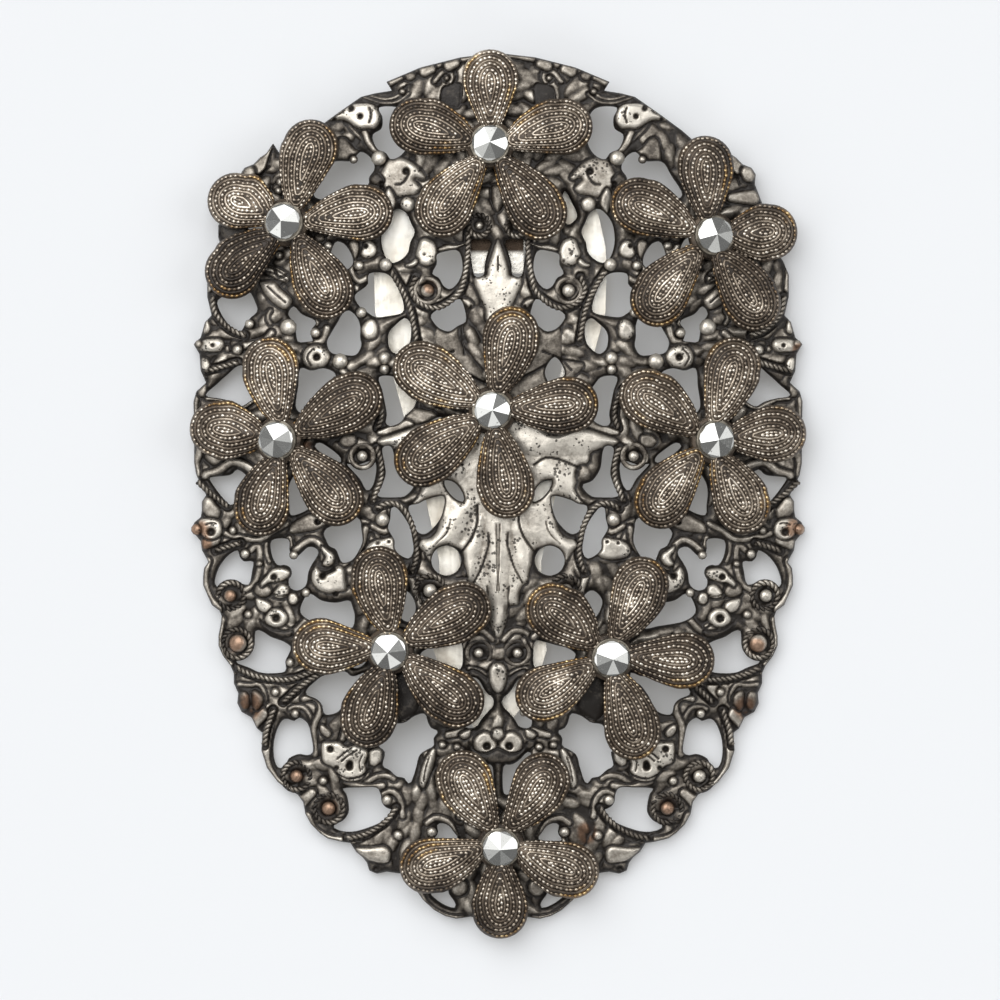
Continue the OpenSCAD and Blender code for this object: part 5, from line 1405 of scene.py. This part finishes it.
def petal_line(shape, inset):
    """A closed tear-shaped line set in from a petal's edge, as distance from the flower's
    centre and place across."""
    _, long, right, left, _ = shape
    tip = long - PETAL_END_R
    lean = (PETAL_END_R - PETAL_ROOT_W) / (tip - PETAL_ROOT)
    tilt = math.asin(lean)
    a = np.linspace(-math.pi / 2 - tilt, math.pi / 2 + tilt, 25)
    b = np.linspace(math.pi / 2 + tilt, 3 * math.pi / 2 - tilt, 9)
    side = np.linspace(0, 1, 8)[1:-1, None]
    tip_arc = np.column_stack([tip + PETAL_END_R * np.cos(a), PETAL_END_R * np.sin(a)])
    root_arc = np.column_stack([PETAL_ROOT + PETAL_ROOT_W * np.cos(b), PETAL_ROOT_W * np.sin(b)])
    line = np.vstack([
        tip_arc, tip_arc[-1] + side * (root_arc[0] - tip_arc[-1]),
        root_arc, root_arc[-1] + side * (tip_arc[0] - root_arc[-1]), tip_arc[:1],
    ])
    along = np.clip((line[:, 0] - PETAL_ROOT) / (tip - PETAL_ROOT), 0, 1)
    fullness = np.where(line[:, 1] < 0, right, left) * (1 - along ** 3) * np.clip(along * 7, 0, 1)
    line[:, 1] *= (1 + fullness) * (1 - 0.97 * inset / PETAL_END_R)
    start = PETAL_ROOT - PETAL_ROOT_W
    share = (line[:, 0] - start) / (long - start)
    behind = ROOT_DRAW * inset ** 2
    line[:, 0] = start + behind + share * (long - start - inset - behind)
    return line


def divided(line, count):
    """The points that divide a closed line into count even steps."""
    return points_at(line, np.arange(count) / count * distances(line)[-1])


def petal_top(inset):
    """Height of a petal's top face at a distance from its edge."""
    return FLOWER_LIFT + PETAL_WALL + PETAL_CROWN * (1 - (1 - inset / PETAL_END_R) ** 2) - 0.15


def petal_body(shape):
    """The petal without its rows: a leaning wall of bare brass and the domed top."""
    levels = [
        (0.3, FLOWER_LIFT, 0.25, 0),
        (-0.05, FLOWER_LIFT + 0.08, 0.35, 0.6),
        (0.0, FLOWER_LIFT + 0.2, 0.35, 0.6),
        (0.12, petal_top(0) - 0.02, 0.3, 0.6),
    ]
    levels += [(inset, petal_top(inset), worn, gilt) for inset, worn, gilt in PETAL_TOP]
    bm = bmesh.new()
    loops = []
    for level in levels:
        inset, z = level[:2]
        loop = [bm.verts.new((x, y, z)) for x, y in divided(petal_line(shape, inset), PETAL_POINTS)]
        loops.append([bm.edges.new((a, b)) for a, b in zip(loop, loop[1:] + loop[:1])])
        if level in (levels[0], levels[-1]):
            bm.faces.new(loop)
    for lower, upper in zip(loops, loops[1:]):
        bmesh.ops.bridge_loops(bm, edges=lower + upper)
    bmesh.ops.recalc_face_normals(bm, faces=bm.faces)
    worn, gilt = (np.repeat([level[i] for level in levels], PETAL_POINTS) for i in (2, 3))
    return part_from(bm, wear=worn, gilt=gilt)


def bead_form():
    bm = bmesh.new()
    bmesh.ops.create_uvsphere(bm, u_segments=6, v_segments=4, radius=1)
    bmesh.ops.delete(bm, geom=[v for v in bm.verts if v.co.z < -0.1], context="VERTS")
    bmesh.ops.scale(bm, vec=(BEAD_LONG / 2, BEAD_WIDE / 2, BEAD_HIGH), verts=bm.verts)
    return part_from(bm)


BEAD = bead_form()


def bead_row(shape, inset, worn, gilt):
    line = petal_line(shape, inset)
    count = int(round(distances(line)[-1] / BEAD_PITCH))
    line = divided(line, count)
    places = np.column_stack([line, np.full(count, petal_top(inset) + 0.01)])
    places += JITTER.normal(0, (0.03, 0.02, 0.015), places.shape)
    headings = np.roll(line, -1, axis=0) - np.roll(line, 1, axis=0)
    headings /= np.linalg.norm(headings, axis=1)[:, None]
    points, corners, sizes = repeated(BEAD, places, headings)
    tops = np.tile(BEAD.points[:, 2] / BEAD_HIGH, count)
    bright = np.repeat(JITTER.normal(0, 0.07, count), len(BEAD.points))
    # Bead tops are brighter: worn high points, and a painted highlight
    return Part(points, corners, sizes, wear=worn + bright + 0.5 * np.clip(tops, 0, 1), gilt=gilt)


def ridge(shape, inset, radius, worn, gilt):
    """One plain wire round a petal."""
    line = petal_line(shape, inset)
    count = max(20, int(distances(line)[-1] / RIDGE_STEP))
    z = np.full(count, petal_top(inset) - 0.02)
    wave = np.arange(count) * JITTER.uniform(0.5, 1.2) + JITTER.uniform(0, TAU)
    wire = np.column_stack([divided(line, count), z, radius * (1 + 0.12 * np.sin(wave))])
    return part_of(drawn_wires([wire], 0, closed=True), wear=worn, gilt=gilt)


def petal(shape):
    rows = []
    dulled = JITTER.uniform(-0.05, 0.3)
    # Rows and ridges brighten inwards: painted shade at the edge, painted light on the crown
    for i, (worn, gilt) in enumerate(ROWS):
        inset = EDGE_ROW + ROW_PITCH * i
        rows += [bead_row(shape, inset, worn, gilt), ridge(shape, inset, UNDER_R, worn + 0.12, gilt)]
    ridges = [ridge(shape, EDGE_ROW + ROW_PITCH * (i + 0.5), RIDGE_R, worn - dulled, 0.1)
              for i, worn in enumerate(RIDGES)]
    made = joined([petal_body(shape)] + ridges + rows)
    # Painted light and shade: each petal gets its own step of painted light, negative for painted shade
    made.marks["wear"] = made.marks["wear"] + PAINTED_LIGHT_STEP * shape[4]
    return made


def turned(part, angle, x, y):
    a = math.radians(angle)
    p = part.points
    part.points = np.column_stack([
        x + p[:, 0] * math.cos(a) - p[:, 1] * math.sin(a),
        y + p[:, 0] * math.sin(a) + p[:, 1] * math.cos(a),
        p[:, 2],
    ])
    return part


def hub(x, y):
    bm = bmesh.new()
    top = FLOWER_LIFT + PETAL_WALL + HUB_RISE
    place = dome_stand(x, y) @ Matrix.Translation((0, 0, (top + FLOWER_LIFT) / 2))
    bmesh.ops.create_cone(bm, cap_ends=True, segments=40, radius1=HUB_R, radius2=HUB_R * 0.94,
                          depth=top - FLOWER_LIFT, matrix=place)
    return part_from(bm, wear=0.25, gilt=0.1)


def flower(number, row, finish):
    x, y = row[:2]
    petals = [turned(petal(shape), shape[0], x, y) for shape in row[2:]]
    for part in petals:
        raise_to_dome(part.points)
    name = f"flower_{number}"
    piece(f"milled_{name}", joined(petals + [hub(x, y)]), finish, "clip_body",
          [name])


def faceted_head(turn):
    """Eight large facets that meet at a point, and a low edge."""
    bm = bmesh.new()
    r = STUD_D / 2
    large = 8

    def ring(count, radius, z, start):
        for i in range(count):
            a = start + TAU * i / count
            bm.verts.new((radius * math.cos(a), radius * math.sin(a), z))

    ring(1, 0, STUD_H, 0)
    ring(large, r * 0.95, STUD_H * 0.45, turn)
    ring(3 * large, r, STUD_H * 0.34, turn)
    ring(3 * large, r, 0, turn)
    bmesh.ops.convex_hull(bm, input=bm.verts)
    return bm


def stud(number, x, y, steel_finish, collar_finish):
    seat = FLOWER_LIFT + PETAL_WALL + HUB_RISE
    stand = dome_stand(x, y)
    head = faceted_head(0.35 * number)
    place = stand @ Matrix.Translation((0, 0, seat + COLLAR_H - 0.1))
    bmesh.ops.transform(head, matrix=place, verts=head.verts)
    name = f"stud_{number}"
    piece(f"cut_{name}", part_from(head), steel_finish, "clip_body", [name], smooth=False)
    bm = bmesh.new()
    place = stand @ Matrix.Translation((0, 0, seat + COLLAR_H / 2))
    bmesh.ops.create_cone(bm, cap_ends=True, segments=40, radius1=COLLAR_R, radius2=COLLAR_R * 0.97,
                          depth=COLLAR_H, matrix=place)
    rim = [e for e in bm.edges if len(e.link_faces) == 2 and e.calc_face_angle() > 1]
    bmesh.ops.bevel(bm, geom=rim, offset=0.08, segments=2, profile=0.5, affect="EDGES", material=-1)
    low = SHEET_LOW - SPREAD_H - 0.02
    for radius, depth, z in (
        (SHANK_R, seat - low, (seat + low) / 2),
        (SPREAD_R, SPREAD_H, low + SPREAD_H / 2),
    ):
        place = stand @ Matrix.Translation((0, 0, z))
        bmesh.ops.create_cone(bm, cap_ends=True, segments=24, radius1=radius, radius2=radius,
                              depth=depth, matrix=place)
    piece(f"rivet_{number}", part_from(bm), collar_finish, "clip_body", smooth=False)


def filigree(finish):
    """The casting in four quarters, and its roped wires."""
    relief = carved()
    face = skin(relief)
    mark_wear_and_painted_light(face, relief)
    work = [eye_rings(), balls_and_bosses()]
    for part, worn in zip(work, (0.0, 0.12)):
        mark_wear_and_painted_light(part, relief, worn)
    back = underside()
    back.marks.update(wear=np.full(len(back.points), 0.2), copper=np.zeros(len(back.points)),
                      polish=np.zeros(len(back.points)))
    casting = joined([face, back] + work)
    ropes = rope_wires()
    mark_wear_and_painted_light(ropes, relief, -0.2)
    for part in (casting, ropes):
        raise_to_dome(part.points)
    for side, across in ((1, "right"), (-1, "left")):
        for end, along in ((1, "upper"), (-1, "lower")):
            piece(f"filigree_{along}_{across}", quarter_of(casting, side, end), finish, "clip_body",
                  ["filigree_plate"])
    piece("rope_wires", ropes, finish, "clip_body")


def give(node, finish):
    """Gives a finish to a piece that keeps its own shape."""
    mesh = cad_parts[node].data
    mesh.materials.clear()
    mesh.materials.append(finish)


def floor():
    bm = bmesh.new()
    bmesh.ops.create_grid(bm, x_segments=1, y_segments=1, size=FLOOR_SIZE)
    mesh = bpy.data.meshes.new("floor")
    bm.to_mesh(mesh)
    bm.free()
    f = Finish("pale_floor")
    mesh.materials.append(f.surface(Base_Color=FLOOR_SHADE, Roughness=0.9,
                                    Emission_Color=FLOOR_GLOW, Emission_Strength=1.0))
    laid = bpy.data.objects.new("floor", mesh)
    bpy.context.collection.objects.link(laid)


def camera():
    """Straight above the clip, framed as the photograph is."""
    lens = bpy.data.cameras.new("camera")
    lens.lens = 300
    lens.sensor_width = 36
    lens.clip_end = 10
    eye = bpy.data.objects.new("camera", lens)
    above = VIEW_W * MM * lens.lens / lens.sensor_width
    eye.location = (VIEW_MIDDLE[0] * MM, VIEW_MIDDLE[1] * MM, above + VIEW_Z * MM)
    bpy.context.collection.objects.link(eye)
    bpy.context.scene.camera = eye


def lights():
    """Soft patches of bright sky over a dim one."""
    world = bpy.data.worlds.new("studio")
    world.use_nodes = True
    sky = Nodes(world.node_tree)
    direction = sky.node("ShaderNodeTexCoord", output="Generated")
    light = DIM_SKY
    for towards, full, faded, strength in SKY_PATCHES:
        facing = sky.node("ShaderNodeVectorMath", {"operation": "DOT_PRODUCT"}, {
            0: direction, 1: tuple(Vector(towards).normalized())}, "Value")
        low, high = math.cos(math.radians(faded)), math.cos(math.radians(full))
        light = light + strength * sky.between(facing, low, high)
    ground = world.node_tree.nodes["Background"].inputs
    ground["Color"].default_value = (*SKY_TINT, 1)
    sky.feed(ground["Strength"], light * SKY_STRENGTH)
    bpy.context.scene.world = world
    bpy.context.scene.view_settings.view_transform = "Standard"


camera()
lights()
floor()
filigree(oxidised_plate())
petal_finish = oxidised_petals()
steel_finish = cut_steel()
collar_finish = collar_metal()
for number, row in enumerate(FLOWERS, 1):
    flower(number, row, petal_finish)
    stud(number, row[0], row[1], steel_finish, collar_finish)
give("clip_flap", nickel())
give("clip_bracket", steel("dark_metal_bracket", (0.3, 0.28, 0.25), 0.45))
give("hinge_pin", steel("pin_steel", (0.6, 0.58, 0.54), 0.35))
give("spring_leaf", steel("spring_steel", (0.86, 0.82, 0.74), 0.28, SPRING_SHADOW_Y))
